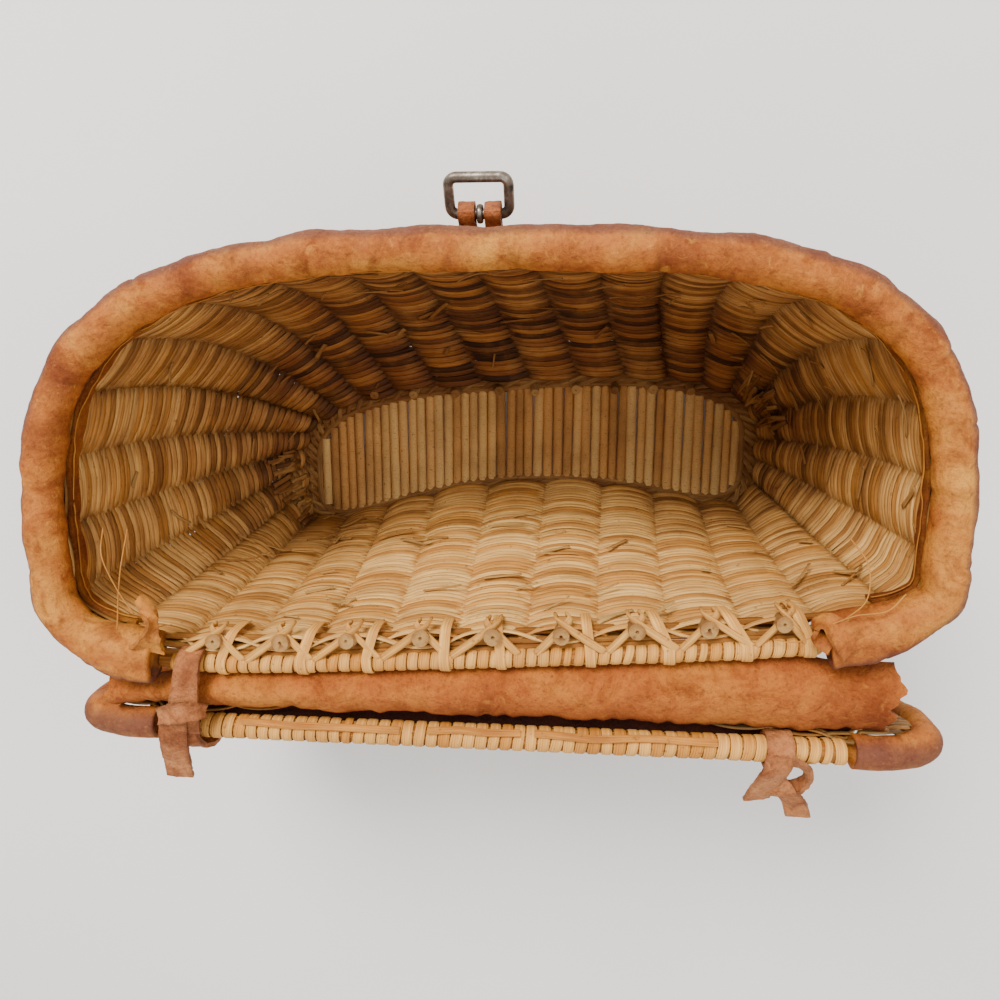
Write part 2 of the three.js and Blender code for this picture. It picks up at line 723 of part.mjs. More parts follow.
// Left tie: the thong goes round both rods, is knotted and leaves a square-cut tail
function leftTie() {
  const rod = backRodPoint(LEFT_TIE_X);
  const half = TIE_THICKNESS / 2;
  const near = rod.y - BACK_ROD_RADIUS - SEAT_GAP - half - TIE_SLACK / 2;
  const overFlap = FLAP_FAR_HEIGHT + FLAP_CROWN + 2 * SEAT_GAP;
  const overRod = BACK_ROD_HEIGHT + BACK_ROD_RADIUS + SEAT_GAP;
  const over = Math.max(overFlap, overRod) + half;
  const underLid = LID_ROD_HEIGHT - LID_ROD_RADIUS - SEAT_GAP - half - TIE_SLACK;
  const underRod = BACK_ROD_HEIGHT - BACK_ROD_RADIUS - SEAT_GAP - half - TIE_SLACK;
  const under = Math.min(underLid, underRod);
  const lidTurn = LID_ROD_RADIUS + SEAT_GAP + half + TIE_SLACK / 2;
  const roundLid = [75, 42, 9, -24, -57, -90].map((degrees) => {
    const turn = THREE.MathUtils.degToRad(degrees);
    return [LID_ROD_Y + lidTurn * Math.cos(turn), LID_ROD_HEIGHT + lidTurn * Math.sin(turn)];
  });
  const path = inYZ([
    [near, BACK_ROD_HEIGHT],
    ...LEFT_OVER_COURSE.map(({ share, rise }) => [mix(near, LID_ROD_Y, share), over + rise]),
    ...roundLid,
    ...LEFT_UNDER_COURSE.map(({ share, rise }) => [mix(near, LID_ROD_Y, share), under + rise]),
    [rod.y - BACK_ROD_RADIUS, underRod - TIE_THICKNESS],
    [near, underRod + SEAT_GAP],
  ]);
  const outer = [];
  const inner = [];
  path.forEach((point, i) => {
    const before = path[(i + path.length - 1) % path.length];
    const after = path[(i + 1) % path.length];
    const along = after.clone().sub(before).normalize();
    const side = new THREE.Vector2(-along.y, along.x).multiplyScalar(half);
    outer.push(point.clone().add(side));
    inner.push(point.clone().sub(side));
  });
  const ring = new THREE.Shape(outer);
  ring.holes.push(new THREE.Path(inner.reverse()));
  const loop = toSolid(acrossX(ring, LEFT_TIE_X, LEFT_TIE_WIDTH));
  const knotY = mix(rod.y, LID_ROD_Y, LEFT_KNOT_SHARE);
  const tail = tailStrap(LEFT_TAIL_COURSE, knotY, over, LEFT_TAIL_X, LEFT_TAIL_WIDTH);
  const knot = knotBar(LEFT_KNOT_RADIUS, LEFT_KNOT_LENGTH);
  knot.translate(LEFT_KNOT_X, knotY, over + TIE_THICKNESS);
  return toGeometry(loop.add(tail).add(toSolid(knot)));
}

// Right tie: the thong goes round the lid's rod alone and is knotted outside it
function rightTie() {
  const bore = LID_ROD_RADIUS + SEAT_GAP;
  const ring = new THREE.Shape();
  ring.absarc(LID_ROD_Y, LID_ROD_HEIGHT, bore + TIE_THICKNESS, 0, 2 * Math.PI);
  const hole = new THREE.Path();
  hole.absarc(LID_ROD_Y, LID_ROD_HEIGHT, bore, 0, 2 * Math.PI);
  ring.holes.push(hole);
  const loop = toSolid(acrossX(ring, RIGHT_TIE_X, RIGHT_TIE_WIDTH));
  const lift = (bore + TIE_THICKNESS / 2) * Math.SQRT1_2;
  const startY = LID_ROD_Y + lift;
  const startZ = LID_ROD_HEIGHT + lift;
  const strap = tailStrap(RIGHT_STRAP_COURSE, startY, startZ, RIGHT_STRAP_X, RIGHT_TIE_WIDTH);
  const tail = tailStrap(RIGHT_TAIL_COURSE, startY, startZ, RIGHT_TAIL_X, RIGHT_TAIL_WIDTH);
  const knot = knotBar(RIGHT_KNOT_RADIUS, RIGHT_KNOT_LENGTH);
  knot.translate(RIGHT_KNOT_X, startY + RIGHT_KNOT_OUT, startZ - RIGHT_KNOT_DROP);
  return toGeometry(loop.add(strap).add(tail).add(toSolid(knot)));
}

// A drum about the buckle's heel bar
function heelDrum(radius, width) {
  const drum = new THREE.CylinderGeometry(radius, radius, width, RING_SIDES);
  drum.rotateZ(Math.PI / 2).translate(BUCKLE_X, HEEL_BAR_Y, HEEL_BAR_Z);
  return toSolid(drum);
}

// Chape: a strap on the front wall, folded round the buckle's heel bar
function buckleChape() {
  const bore = BUCKLE_WIRE_RADIUS + SEAT_GAP;
  const wall = wallMiddle(-Math.PI / 2, 1).y - WALL_OVER_STAKE / 2 - SEAT_GAP;
  const layY = wall - CHAPE_THICKNESS;
  const strapPath = inYZ([
    [HEEL_BAR_Y, HEEL_BAR_Z],
    [mix(HEEL_BAR_Y, layY, CHAPE_BEND_SHARE), HEEL_BAR_Z - CHAPE_BEND_DROP],
    [layY, HEEL_BAR_Z - CHAPE_LAY_DROP], [layY, HEEL_BAR_Z - CHAPE_LENGTH],
  ]);
  const strap = acrossX(strapOutline(strapPath, 2 * CHAPE_THICKNESS), BUCKLE_X, CHAPE_WIDTH);
  const folded = toSolid(strap).add(heelDrum(bore + CHAPE_THICKNESS, CHAPE_WIDTH));
  const slotRadius = bore + 2 * PRONG_WIRE + 2 * SEAT_GAP;
  const hole = heelDrum(bore, 2 * CHAPE_WIDTH);
  return toGeometry(folded.subtract(hole).subtract(heelDrum(slotRadius, CHAPE_SLOT)));
}

// Frame: a rectangle of round wire; its heel bar turns in the chape
function buckleFrame() {
  const lean = THREE.MathUtils.degToRad(BUCKLE_TILT);
  const half = BUCKLE_WIDTH / 2;
  const spot = (side, out) => side * (half - (out ? 0 : BUCKLE_CORNER));
  const atCorner = (side, out) => [spot(side, out), BUCKLE_REACH - (out ? BUCKLE_CORNER : 0)];
  const heel = (side, out) => [spot(side, out), out ? BUCKLE_CORNER : 0];
  const track = [
    heel(-1, false), heel(-1, true), atCorner(-1, true), atCorner(-1, false),
    atCorner(1, false), atCorner(1, true), heel(1, true), heel(1, false),
  ];
  const sides = 8;
  const loops = track.map(([x, reach], i) => {
    const before = track[(i + track.length - 1) % track.length];
    const after = track[(i + 1) % track.length];
    const along = new THREE.Vector2(after[0] - before[0], after[1] - before[1]).normalize();
    const loop = [];
    for (let k = 0; k < sides; k += 1) {
      const turn = 2 * Math.PI * (k + 0.5) / sides;
      const out = BUCKLE_WIRE_RADIUS * Math.cos(turn);
      const up = BUCKLE_WIRE_RADIUS * Math.sin(turn);
      loop.push(new THREE.Vector3(x + along.y * out, -(reach - along.x * out), up));
    }
    return loop;
  });
  const frame = ringOfLoops(loops);
  frame.rotateX(-lean);
  return frame.translate(BUCKLE_X, HEEL_BAR_Y, HEEL_BAR_Z);
}

// Prong: a ring round the heel bar in the chape's slot, and a pin that hangs down
function buckleProng() {
  const bore = BUCKLE_WIRE_RADIUS + SEAT_GAP;
  const outside = bore + PRONG_WIRE;
  const half = PRONG_RING_WIDTH / 2;
  const profile = [[bore, -half], [outside, -half], [outside, half], [bore, half], [bore, -half]];
  const ring = new THREE.LatheGeometry(inYZ(profile), RING_SIDES);
  ring.rotateZ(Math.PI / 2);
  const pinLength = PRONG_REACH - bore - PRONG_WIRE / 2;
  const pin = new THREE.CylinderGeometry(half, half * PRONG_TAPER, pinLength, BAR_SIDES);
  pin.translate(0, -(bore + PRONG_WIRE / 2 + pinLength / 2), 0);
  pin.rotateX(Math.PI / 2);
  pin.rotateX(THREE.MathUtils.degToRad(-PRONG_HANG));
  const prong = toSolid(ring).add(toSolid(pin));
  return toGeometry(prong).translate(BUCKLE_X, HEEL_BAR_Y, HEEL_BAR_Z);
}

addPiece('basket_body', wovenBody(), cane(0xc08a4a));
addPiece('base_slats', basePanel(), cane(0xc9954f));
addPiece('rim_leather', rimLeather(), leather(0xb5652a));
addPiece('back_rim_rod', backRod(), cane(0xdcbc84));
addStakeStubs();
addPiece('lid_weave', lidPanel(), cane(0xc9a05a));
addPiece('lid_rim_leather', lidRim(), leather(0x9c5a35));
addPiece('lid_back_rod', lidRod(), cane(0xdcbc84));
addPiece('hinge_flap', hingeFlap(), leather(0xa55a24));
addPiece('tie_left', leftTie(), leather(0xb0764a));
addPiece('tie_right', rightTie(), leather(0xa0602f));
addPiece('buckle_chape', buckleChape(), leather(0x94562f));
addPiece('buckle_frame', buckleFrame(), agedMetal());
addPiece('buckle_prong', buckleProng(), agedMetal());

export default creel;
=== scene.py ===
"""Wicker fishing creel with a leather-bound mouth, seen open from above."""

import math

import bpy
import numpy as np
from mathutils import Matrix, Vector, noise


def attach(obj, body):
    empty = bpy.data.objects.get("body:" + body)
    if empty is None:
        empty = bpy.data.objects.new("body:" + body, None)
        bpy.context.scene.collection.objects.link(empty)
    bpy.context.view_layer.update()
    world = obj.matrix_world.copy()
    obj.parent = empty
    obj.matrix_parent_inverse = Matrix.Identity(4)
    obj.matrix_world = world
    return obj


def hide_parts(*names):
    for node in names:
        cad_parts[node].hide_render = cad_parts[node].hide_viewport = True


bl_info = {
    "name": "Wicker Creel",
    "version": (1, 0, 0),
    "blender": (4, 5, 0),
    "location": "View3D > Sidebar > Creel",
    "description": "Builds a woven fishing creel with leather binding on its packed frame",
    "category": "Add Mesh",
}

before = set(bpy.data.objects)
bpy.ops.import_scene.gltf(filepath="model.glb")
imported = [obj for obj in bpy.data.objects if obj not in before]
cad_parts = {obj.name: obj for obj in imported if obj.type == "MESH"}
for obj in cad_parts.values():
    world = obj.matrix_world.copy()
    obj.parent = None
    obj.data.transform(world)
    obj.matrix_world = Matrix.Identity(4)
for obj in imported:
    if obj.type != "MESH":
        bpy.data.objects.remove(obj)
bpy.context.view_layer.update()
MM = 0.001

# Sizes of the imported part, in millimetres
GAP = 0.3
WALL_OVER_STAKE = 9.0
STAKE_PITCH = 29.7
MIDDLE_STAKE_X = -5.5
FOOT_HEIGHT = 6.0
BACK_WALL_TOP = 175.0
RIM_HEIGHT = 181.0
RIM_RADIUS = 8.8
RIM_END_X = 137.0
RIM_END_OUT = 10.0
BACK_ROD_RADIUS = 4.2
BACK_ROD_HEIGHT = 174.5
LID_ROD_RADIUS = 5.5
LID_ROD_HEIGHT = 170.0
LID_ROD_Y = 113.0
LID_ROD_HALF = 147.0
LID_SHIFT_X = -6.0
LID_HALF_WIDTH = 184.0
LID_LENGTH = 166.5
LID_CORNER = 13.0
LID_THICKNESS = 5.0
LID_DOME = 13.0
LID_POWER = 2.5
LID_RIM_RADIUS = 6.0
HEEL_BAR = np.array([-0.8, -102.6, 165.0])
BUCKLE_TILT = 35.0
# Each lashing's place along the back rod, and how far it leans on its way down
LASHINGS = (
    (109.8, -6.3), (75.1, -5.9), (47.0, -4.6), (14.3, -1.7), (-9.2, 0.8),
    (-46.0, 1.3), (-77.5, 5.9), (-108.0, 8.0), (-132.0, 5.0),
)


def mix(a, b, share):
    return a + (b - a) * share


def smoothstep(low, high, value):
    share = np.clip((value - low) / (high - low), 0, 1)
    return share * share * (3 - 2 * share)


def unit(vectors):
    return vectors / (np.linalg.norm(vectors, axis=-1, keepdims=True) + 1e-12)


class Plan:
    """Outline of the creel seen from above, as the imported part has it."""

    def __init__(self, half, middle_x, widest_y, front, back, dip, powers, skew, shear):
        self.half = half
        self.middle_x = middle_x
        self.widest_y = widest_y
        self.front = front
        self.back = back
        self.dip = dip
        self.left, self.right, self.back_power = powers
        self.skew = skew
        self.shear = shear

    def at(self, angle):
        across = np.cos(angle)
        along = np.sin(angle)
        front_power = np.where(across > 0, self.left, self.right)
        power = np.where(along < 0, front_power, self.back_power)
        spread = (np.abs(across) ** power + np.abs(along) ** power) ** (1 / power)
        share = across / spread
        reach = np.abs(along) / spread
        x = self.middle_x + self.half * share
        depth = (self.back - self.dip * (1 - share ** 2)) * (1 + self.skew * share)
        depth = np.where(along < 0, -self.front, depth)
        return np.stack([x, self.widest_y + depth * reach + self.shear * x], -1)

    def back_angle(self, x):
        share = (x - self.middle_x) / self.half
        reach = (1 - np.abs(share) ** self.back_power) ** (1 / self.back_power)
        return np.arctan2(reach, share)

    def outward(self, angle):
        tangent = self.at(angle + 0.002) - self.at(angle - 0.002)
        return unit(np.stack([tangent[..., 1], -tangent[..., 0]], -1))


class Walk:
    """A walk once round a plan, from its middle back stake."""

    def __init__(self, plan):
        start = plan.back_angle(MIDDLE_STAKE_X)
        self.angles = start + np.linspace(0, 2 * math.pi, 2401)
        points = plan.at(self.angles)
        steps = np.linalg.norm(np.diff(points, axis=0), axis=1)
        self.lengths = np.concatenate([[0], np.cumsum(steps)])
        self.total = self.lengths[-1]

    def angle_at(self, share):
        return np.interp((share % 1.0) * self.total, self.lengths, self.angles)


MOUTH = Plan(179, 0, 31.5, 119.5, 34.5, 0, (2.9, 3.5, 4.4), 0.34, 0)
FOOT = Plan(138, -10, 16, 47, 49, 31, (2.9, 2.9, 5), 0, 0.06)
PANEL = Plan(127, -10, 16, 40, 40, 27, (2.9, 2.9, 5), 0, 0.06)
MOUTH_WALK = Walk(MOUTH)
FOOT_WALK = Walk(FOOT)
STAKES = int(round(MOUTH_WALK.total / STAKE_PITCH))


def foot_at(plan, stake):
    turn = 2 * math.pi * (stake / STAKES)
    crowded = 0.5 * np.sin(2 * turn) / 2 + 0.13 * np.sin(turn)
    return plan.at(FOOT_WALK.angle_at((turn + crowded) / (2 * math.pi)))


def wall_top(angle):
    under_roll = RIM_HEIGHT - smoothstep(0.5, 0.8, np.sin(angle)) - RIM_RADIUS - GAP
    x = np.abs(MOUTH.at(angle)[..., 0])
    raised = (1 - smoothstep(RIM_END_X - 12, RIM_END_X - 9, x)) * (np.sin(angle) > 0)
    return mix(under_roll, BACK_WALL_TOP, raised)


def wall_middle(stake, height):
    """Point in the middle of the woven wall; stake 0 is the middle back stake."""
    angle = MOUTH_WALK.angle_at(stake / STAKES)
    along = np.sin(angle)
    bulge = np.where(along < 0, mix(2.5, 4.4, -along), mix(2.5, 1.3, along))
    out = 1 - (1 - height) ** bulge
    level = mix(foot_at(FOOT, stake), MOUTH.at(angle), out[..., None])
    rise = mix(FOOT_HEIGHT, wall_top(angle), height)
    return np.concatenate([level, rise[..., None]], -1)


def wall_frame(stake, height):
    """Middle point, outward direction and upward direction along the wall."""
    stake, height = np.broadcast_arrays(stake, height)
    middle = wall_middle(stake, height)
    around = wall_middle(stake + 0.03, height) - wall_middle(stake - 0.03, height)
    low = np.clip(height - 0.006, 0, 1)
    high = np.clip(height + 0.006, 0, 1)
    up = unit(wall_middle(stake, high) - wall_middle(stake, low))
    out = unit(np.cross(around, up))
    return middle, out, up


def even_heights(stake, shares):
    """Heights that lie evenly along the wall at each stake position."""
    heights = np.linspace(0, 1, 61)
    points = wall_middle(stake[None, :], np.repeat(heights[:, None], len(stake), 1))
    steps = np.linalg.norm(np.diff(points, axis=0), axis=2)
    lengths = np.concatenate([np.zeros((1, len(stake))), np.cumsum(steps, axis=0)])
    found = [
        np.interp(shares * lengths[-1, i], lengths[:, i], heights)
        for i in range(len(stake))
    ]
    return np.stack(found, 1)


# Cross-sections of a strand, as shares of half its width and half its thickness
SPLIT_CANE = [(-1, -0.2), (-0.62, 0.85), (0.62, 0.85), (1, -0.2), (0.5, -1), (-0.5, -1)]
FLAT_CANE = [
    (-1, -0.4), (-1, 0.4), (-0.8, 1), (0.8, 1), (1, 0.4), (1, -0.4), (0.8, -1), (-0.8, -1),
]
ROUND = [(math.cos(t), math.sin(t)) for t in np.linspace(0, 2 * math.pi, 9)[:-1]]


class Strands:
    """Collects strands of one piece: points, faces, lengthwise UVs and tones."""

    def __init__(self):
        self.points = []
        self.faces = []
        self.uvs = []
        self.tones = []
        self.count = 0

    def add(self, middle, side, flat, width, thick, tone, section=SPLIT_CANE):
        """Adds rows of strands: arrays of rows by stations, lengths in millimetres."""
        rows, stations = middle.shape[:2]
        section = np.array(section)
        corners = len(section)
        width = np.broadcast_to(width, (rows, stations))[..., None, None]
        thick = np.broadcast_to(thick, (rows, stations))[..., None, None]
        points = (
            middle[:, :, None, :]
            + side[:, :, None, :] * section[None, None, :, 0:1] * width / 2
            + flat[:, :, None, :] * section[None, None, :, 1:2] * thick / 2
        )
        steps = np.linalg.norm(np.diff(middle, axis=1), axis=2)
        run = np.concatenate([np.zeros((rows, 1)), np.cumsum(steps, axis=1)], 1)
        run = run + np.arange(rows)[:, None] * 37.0
        around = np.linalg.norm(np.diff(np.vstack([section, section[:1]]), axis=0), axis=1)
        around = np.concatenate([[0], np.cumsum(around)])[:-1]
        uv = np.zeros((rows, stations, corners, 2))
        uv[..., 0] = run[:, :, None]
        uv[..., 1] = around[None, None, :] * width[..., 0] / 2
        tone = np.broadcast_to(tone, (rows, stations, 3))
        tones = np.repeat(tone[:, :, None, :], corners, 2)
        index = np.arange(rows * stations * corners).reshape(rows, stations, corners)
        index = index + self.count
        turned = np.roll(index, -1, axis=2)
        quads = np.stack(
            [index[:, :-1], turned[:, :-1], turned[:, 1:], index[:, 1:]], -1
        ).reshape(-1, 4)
        self.faces.extend(quads.tolist())
        self.faces.extend(index[:, 0, ::-1].tolist())
        self.faces.extend(index[:, -1].tolist())
        self.points.append(points.reshape(-1, 3))
        self.uvs.append(uv.reshape(-1, 2))
        self.tones.append(tones.reshape(-1, 3))
        self.count += rows * stations * corners

    def add_path(self, points, side, width, thick, tone, section=FLAT_CANE):
        """Adds one strand along a path; side is the direction of its width."""
        points = np.asarray(points, float)
        tangent = unit(np.gradient(points, axis=0))
        side = np.broadcast_to(np.asarray(side, float), points.shape)
        side = unit(side - tangent * (side * tangent).sum(-1, keepdims=True))
        flat = unit(np.cross(tangent, side))
        width = np.broadcast_to(width, len(points))
        thick = np.broadcast_to(thick, len(points))
        self.add(
            points[None], side[None], flat[None], width[None], thick[None],
            np.asarray(tone, float), section,
        )

    def finish(self, name, material, smooth_angle=None):
        points = np.concatenate(self.points) * MM
        mesh = bpy.data.meshes.new(name)
        mesh.from_pydata(points.tolist(), [], self.faces)
        piece = bpy.data.objects.new(name, mesh)
        bpy.context.scene.collection.objects.link(piece)
        tones = np.concatenate(self.tones)
        colour = mesh.attributes.new("tone", "FLOAT_COLOR", "POINT")
        colour.data.foreach_set("color", np.c_[tones, np.ones(len(tones))].ravel())
        loops = np.zeros(len(mesh.loops), int)
        mesh.loops.foreach_get("vertex_index", loops)
        uv = np.concatenate(self.uvs)[loops] * MM
        layer = mesh.uv_layers.new(name="UVMap")
        layer.data.foreach_set("uv", uv.ravel())
        mesh.materials.append(material)
        face_outwards(piece)
        shade(piece, smooth_angle)
        return piece


def face_outwards(piece):
    """Recalculates a closed piece's normals so that they point out of it."""
    deselect()
    piece.select_set(True)
    bpy.context.view_layer.objects.active = piece
    bpy.ops.object.mode_set(mode="EDIT")
    bpy.ops.mesh.select_all(action="SELECT")
    bpy.ops.mesh.normals_make_consistent(inside=False)
    bpy.ops.object.mode_set(mode="OBJECT")


def shade(piece, angle=None):
    deselect()
    piece.select_set(True)
    bpy.context.view_layer.objects.active = piece
    if angle is None:
        bpy.ops.object.shade_smooth()
    else:
        bpy.ops.object.shade_smooth_by_angle(angle=math.radians(angle))


def deselect():
    if bpy.context.object and bpy.context.object.mode != "OBJECT":
        bpy.ops.object.mode_set(mode="OBJECT")
    bpy.ops.object.select_all(action="DESELECT")


def place(piece, body, slot, *nodes):
    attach(piece, body)
    if nodes:
        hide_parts(*nodes)
    return piece


def spline(points, count):
    """Even points on a smooth curve through the given ones."""
    points = np.asarray(points, float)
    padded = np.vstack([2 * points[0] - points[1], points, 2 * points[-1] - points[-2]])
    found = []
    for i in range(len(points) - 1):
        a, b, c, d = padded[i:i + 4]
        t = np.linspace(0, 1, 24, endpoint=False)[:, None]
        found.append(
            0.5 * (2 * b + (c - a) * t + (2 * a - 5 * b + 4 * c - d) * t ** 2
                   + (3 * b - a - 3 * c + d) * t ** 3)
        )
    found = np.vstack([*found, points[-1:]])
    lengths = np.concatenate([[0], np.cumsum(np.linalg.norm(np.diff(found, axis=0), axis=1))])
    wanted = np.linspace(0, lengths[-1], count)
    return np.stack([np.interp(wanted, lengths, found[:, i]) for i in range(found.shape[1])], 1)


def wobble(rng, count, step):
    """Smooth random values from -1 to 1 that change over the given number of steps."""
    knots = rng.uniform(-1, 1, int(count / step) + 3)
    places = np.arange(count) / step
    low = places.astype(int)
    share = places - low
    share = share * share * (3 - 2 * share)
    return mix(knots[low], knots[low + 1], share)


# ---- materials


def srgb(red, green, blue):
    """Linear colour of a screen colour given in 0 to 255."""
    def linear(value):
        value = value / 255
        return value / 12.92 if value <= 0.04045 else ((value + 0.055) / 1.055) ** 2.4
    return (linear(red), linear(green), linear(blue), 1)


class Shader:
    """A material's node tree with short names for the nodes that it needs."""

    def __init__(self, name, roughness=0.7, metallic=0.0):
        self.material = bpy.data.materials.new(name)
        self.material.use_nodes = True
        self.tree = self.material.node_tree
        self.surface = self.tree.nodes["Principled BSDF"]
        self.surface.inputs["Roughness"].default_value = roughness
        self.surface.inputs["Metallic"].default_value = metallic
        self.surface.inputs["Specular IOR Level"].default_value = 0.5 if metallic else 0.22

    def node(self, kind, **values):
        made = self.tree.nodes.new(kind)
        for key, value in values.items():
            setattr(made, key, value)
        return made

    def link(self, source, target):
        self.tree.links.new(source, target)

    def coordinates(self, which="Object", scale=(1, 1, 1)):
        source = self.node("ShaderNodeTexCoord").outputs[which]
        mapping = self.node("ShaderNodeMapping")
        mapping.inputs["Scale"].default_value = scale
        self.link(source, mapping.inputs["Vector"])
        return mapping.outputs["Vector"]

    def noise(self, vector, scale, detail=4, roughness=0.55, distortion=0.0):
        made = self.node("ShaderNodeTexNoise")
        made.inputs["Scale"].default_value = scale
        made.inputs["Detail"].default_value = detail
        made.inputs["Roughness"].default_value = roughness
        made.inputs["Distortion"].default_value = distortion
        self.link(vector, made.inputs["Vector"])
        return made.outputs["Fac"]

    def ramp(self, factor, stops):
        made = self.node("ShaderNodeValToRGB")
        ramp = made.color_ramp
        while len(ramp.elements) < len(stops):
            ramp.elements.new(0.5)
        for element, (position, colour) in zip(ramp.elements, stops):
            element.position = position
            element.color = colour if len(colour) == 4 else (*colour, 1)
        self.link(factor, made.inputs["Fac"])
        return made.outputs["Color"]

    def blend(self, factor, first, second, mode="MIX"):
        made = self.node("ShaderNodeMix", data_type="RGBA", blend_type=mode)
        made.clamp_factor = True
        for value, socket in ((factor, made.inputs[0]), (first, made.inputs[6]), (second, made.inputs[7])):
            if isinstance(value, (int, float, tuple)):
                socket.default_value = value
            else:
                self.link(value, socket)
        return made.outputs[2]

    def maths(self, operation, first, second=0.0, third=0.0):
        made = self.node("ShaderNodeMath", operation=operation)
        for value, socket in zip((first, second, third), made.inputs):
            if isinstance(value, (int, float)):
                socket.default_value = value
            else:
                self.link(value, socket)
        return made.outputs[0]

    def span(self, value, low, high, first=0.0, second=1.0):
        made = self.node("ShaderNodeMapRange", clamp=True)
        self.link(value, made.inputs["Value"])
        for key, number in zip(("From Min", "From Max", "To Min", "To Max"), (low, high, first, second)):
            made.inputs[key].default_value = number
        return made.outputs["Result"]

    def tone(self):
        colour = self.node("ShaderNodeAttribute", attribute_name="tone")
        split = self.node("ShaderNodeSeparateColor")
        self.link(colour.outputs["Color"], split.inputs["Color"])
        return split.outputs["Red"], split.outputs["Green"], split.outputs["Blue"]

    def bump(self, height, strength, distance, below=None):
        made = self.node("ShaderNodeBump")
        made.inputs["Strength"].default_value = strength
        made.inputs["Distance"].default_value = distance
        self.link(height, made.inputs["Height"])
        if below is not None:
            self.link(below, made.inputs["Normal"])
        return made.outputs["Normal"]

    def done(self, colour, roughness=None, normal=None):
        self.link(colour, self.surface.inputs["Base Color"])
        if roughness is not None:
            self.link(roughness, self.surface.inputs["Roughness"])
        if normal is not None:
            self.link(normal, self.surface.inputs["Normal"])
        return self.material


def make_cane(name, light, middle, brown, dark, streak=0.5):
    """Split cane: pale to brown strands with lengthwise fibres, and painted shade with some dust in the gaps."""
    s = Shader(name, 0.62)
    random, age, edge = s.tone()
    grain = s.noise(s.coordinates("UV", (28, 900, 1)), 1.0, 5, 0.6)
    wide = s.noise(s.coordinates("UV", (9, 160, 1)), 1.0, 3, 0.5)
    stain = s.noise(s.coordinates("Object"), 38, 5, 0.62)
    deep = mix_colour(middle, brown, 0.45)
    base = s.ramp(random, [(0.0, deep), (0.3, middle), (0.6, mix_colour(middle, light, 0.7)), (1.0, light)])
    aged = s.ramp(random, [(0.0, dark), (0.5, brown), (1.0, mix_colour(brown, middle, 0.3))])
    # Green tone browns the cane; on the walls it also carries painted light and shade.
    age = s.maths("ADD", age, s.span(stain, 0.35, 0.7, -0.22, 0.22))
    colour = s.blend(s.span(age, 0.0, 1.0), base, aged)
    colour = s.blend(s.span(grain, 0.38, 0.62, streak, 0.0), colour, s.blend(1.0, colour, brown, "MULTIPLY"))
    colour = s.blend(s.span(wide, 0.56, 0.72, 0.0, 0.35), colour, dark)
    # Blue tone: painted shade, with some dust, in the weave's recesses; pieces other than the walls give it a fixed
    # amount.
    colour = s.blend(s.span(edge, 0.1, 0.9, 0.0, 0.8), colour, dark)
    spots = s.noise(s.coordinates("Object"), 420, 2, 0.5)
    colour = s.blend(s.span(spots, 0.66, 0.74, 0.0, 0.45), colour, dark)
    height = s.maths("ADD", s.maths("MULTIPLY", grain, 0.7), s.maths("MULTIPLY", wide, 0.5))
    rough = s.span(grain, 0.3, 0.7, 0.78, 0.5)
    return s.done(colour, rough, s.bump(height, 0.8, 0.0007))


def mix_colour(first, second, share):
    return tuple(mix(a, b, share) for a, b in zip(first, second))


def make_leather(name, worn, tan, rust, dark, outer, nap=1.0, shine=0.68):
    """Old leather: mottled tan with worn nap, scuffs and a browner outside, with painted shade in creases, dents and
    underneath taken from its tone.
    """
    s = Shader(name, shine)
    painted_shade_and_dark_edges, outside, shadow = s.tone()
    here = s.coordinates("Object")
    cloud = s.noise(here, 24, 5, 0.6, 0.4)
    patch = s.noise(here, 75, 5, 0.65, 0.8)
    fine = s.noise(here, 620, 4, 0.7)
    pores = s.noise(here, 2400, 2, 0.6)
    colour = s.ramp(cloud, [(0.3, rust), (0.47, tan), (0.6, mix_colour(tan, worn, 0.55)), (0.72, worn)])
    grain = s.noise(here, 210, 4, 0.7, 0.6)
    colour = s.blend(s.span(patch, 0.48, 0.68, 0.0, 0.75), colour, rust)
    colour = s.blend(s.span(grain, 0.54, 0.7, 0.0, 0.5), colour, rust)
    colour = s.blend(s.span(grain, 0.3, 0.44, 0.45, 0.0), colour, worn)
    colour = s.blend(s.span(outside, 0.35, 0.95, 0.0, 0.85), colour, outer)
    colour = s.blend(s.span(fine, 0.5, 0.75, 0.0, 0.5), colour, dark)
    colour = s.blend(s.span(fine, 0.25, 0.42, 0.35, 0.0), colour, worn)
    colour = s.blend(s.span(pores, 0.58, 0.74, 0.0, 0.5), colour, dark)
    # Red and blue tone: painted shade in creases, dents and under the leather; red also darkens the straps' long
    # edges.
    colour = s.blend(painted_shade_and_dark_edges, colour, dark)
    colour = s.blend(shadow, colour, s.blend(1.0, colour, rust, "MULTIPLY"))
    height = s.maths("ADD", s.maths("MULTIPLY", fine, 1.0), s.maths("MULTIPLY", pores, 0.35))
    height = s.maths("ADD", height, s.maths("MULTIPLY", patch, 1.6))
    height = s.maths("ADD", height, s.maths("MULTIPLY", grain, 1.4))
    rough = s.span(patch, 0.35, 0.7, shine - 0.1, shine + 0.16)
    return s.done(colour, rough, s.bump(height, 0.5 * nap, 0.0011))


def make_metal(name, bright, dull, dark):
    s = Shader(name, 0.38, 0.85)
    here = s.coordinates("Object")
    tarnish = s.noise(here, 260, 5, 0.65)
    scratch = s.noise(s.coordinates("Object", (900, 120, 120)), 3.0, 3, 0.6)
    colour = s.ramp(tarnish, [(0.3, dark), (0.52, dull), (0.75, bright)])
    colour = s.blend(s.span(scratch, 0.6, 0.75, 0.0, 0.5), colour, bright)
    rough = s.span(tarnish, 0.3, 0.7, 0.55, 0.3)
    return s.done(colour, rough, s.bump(scratch, 0.25, 0.0002))


MATERIALS = {}


# ---- woven pieces


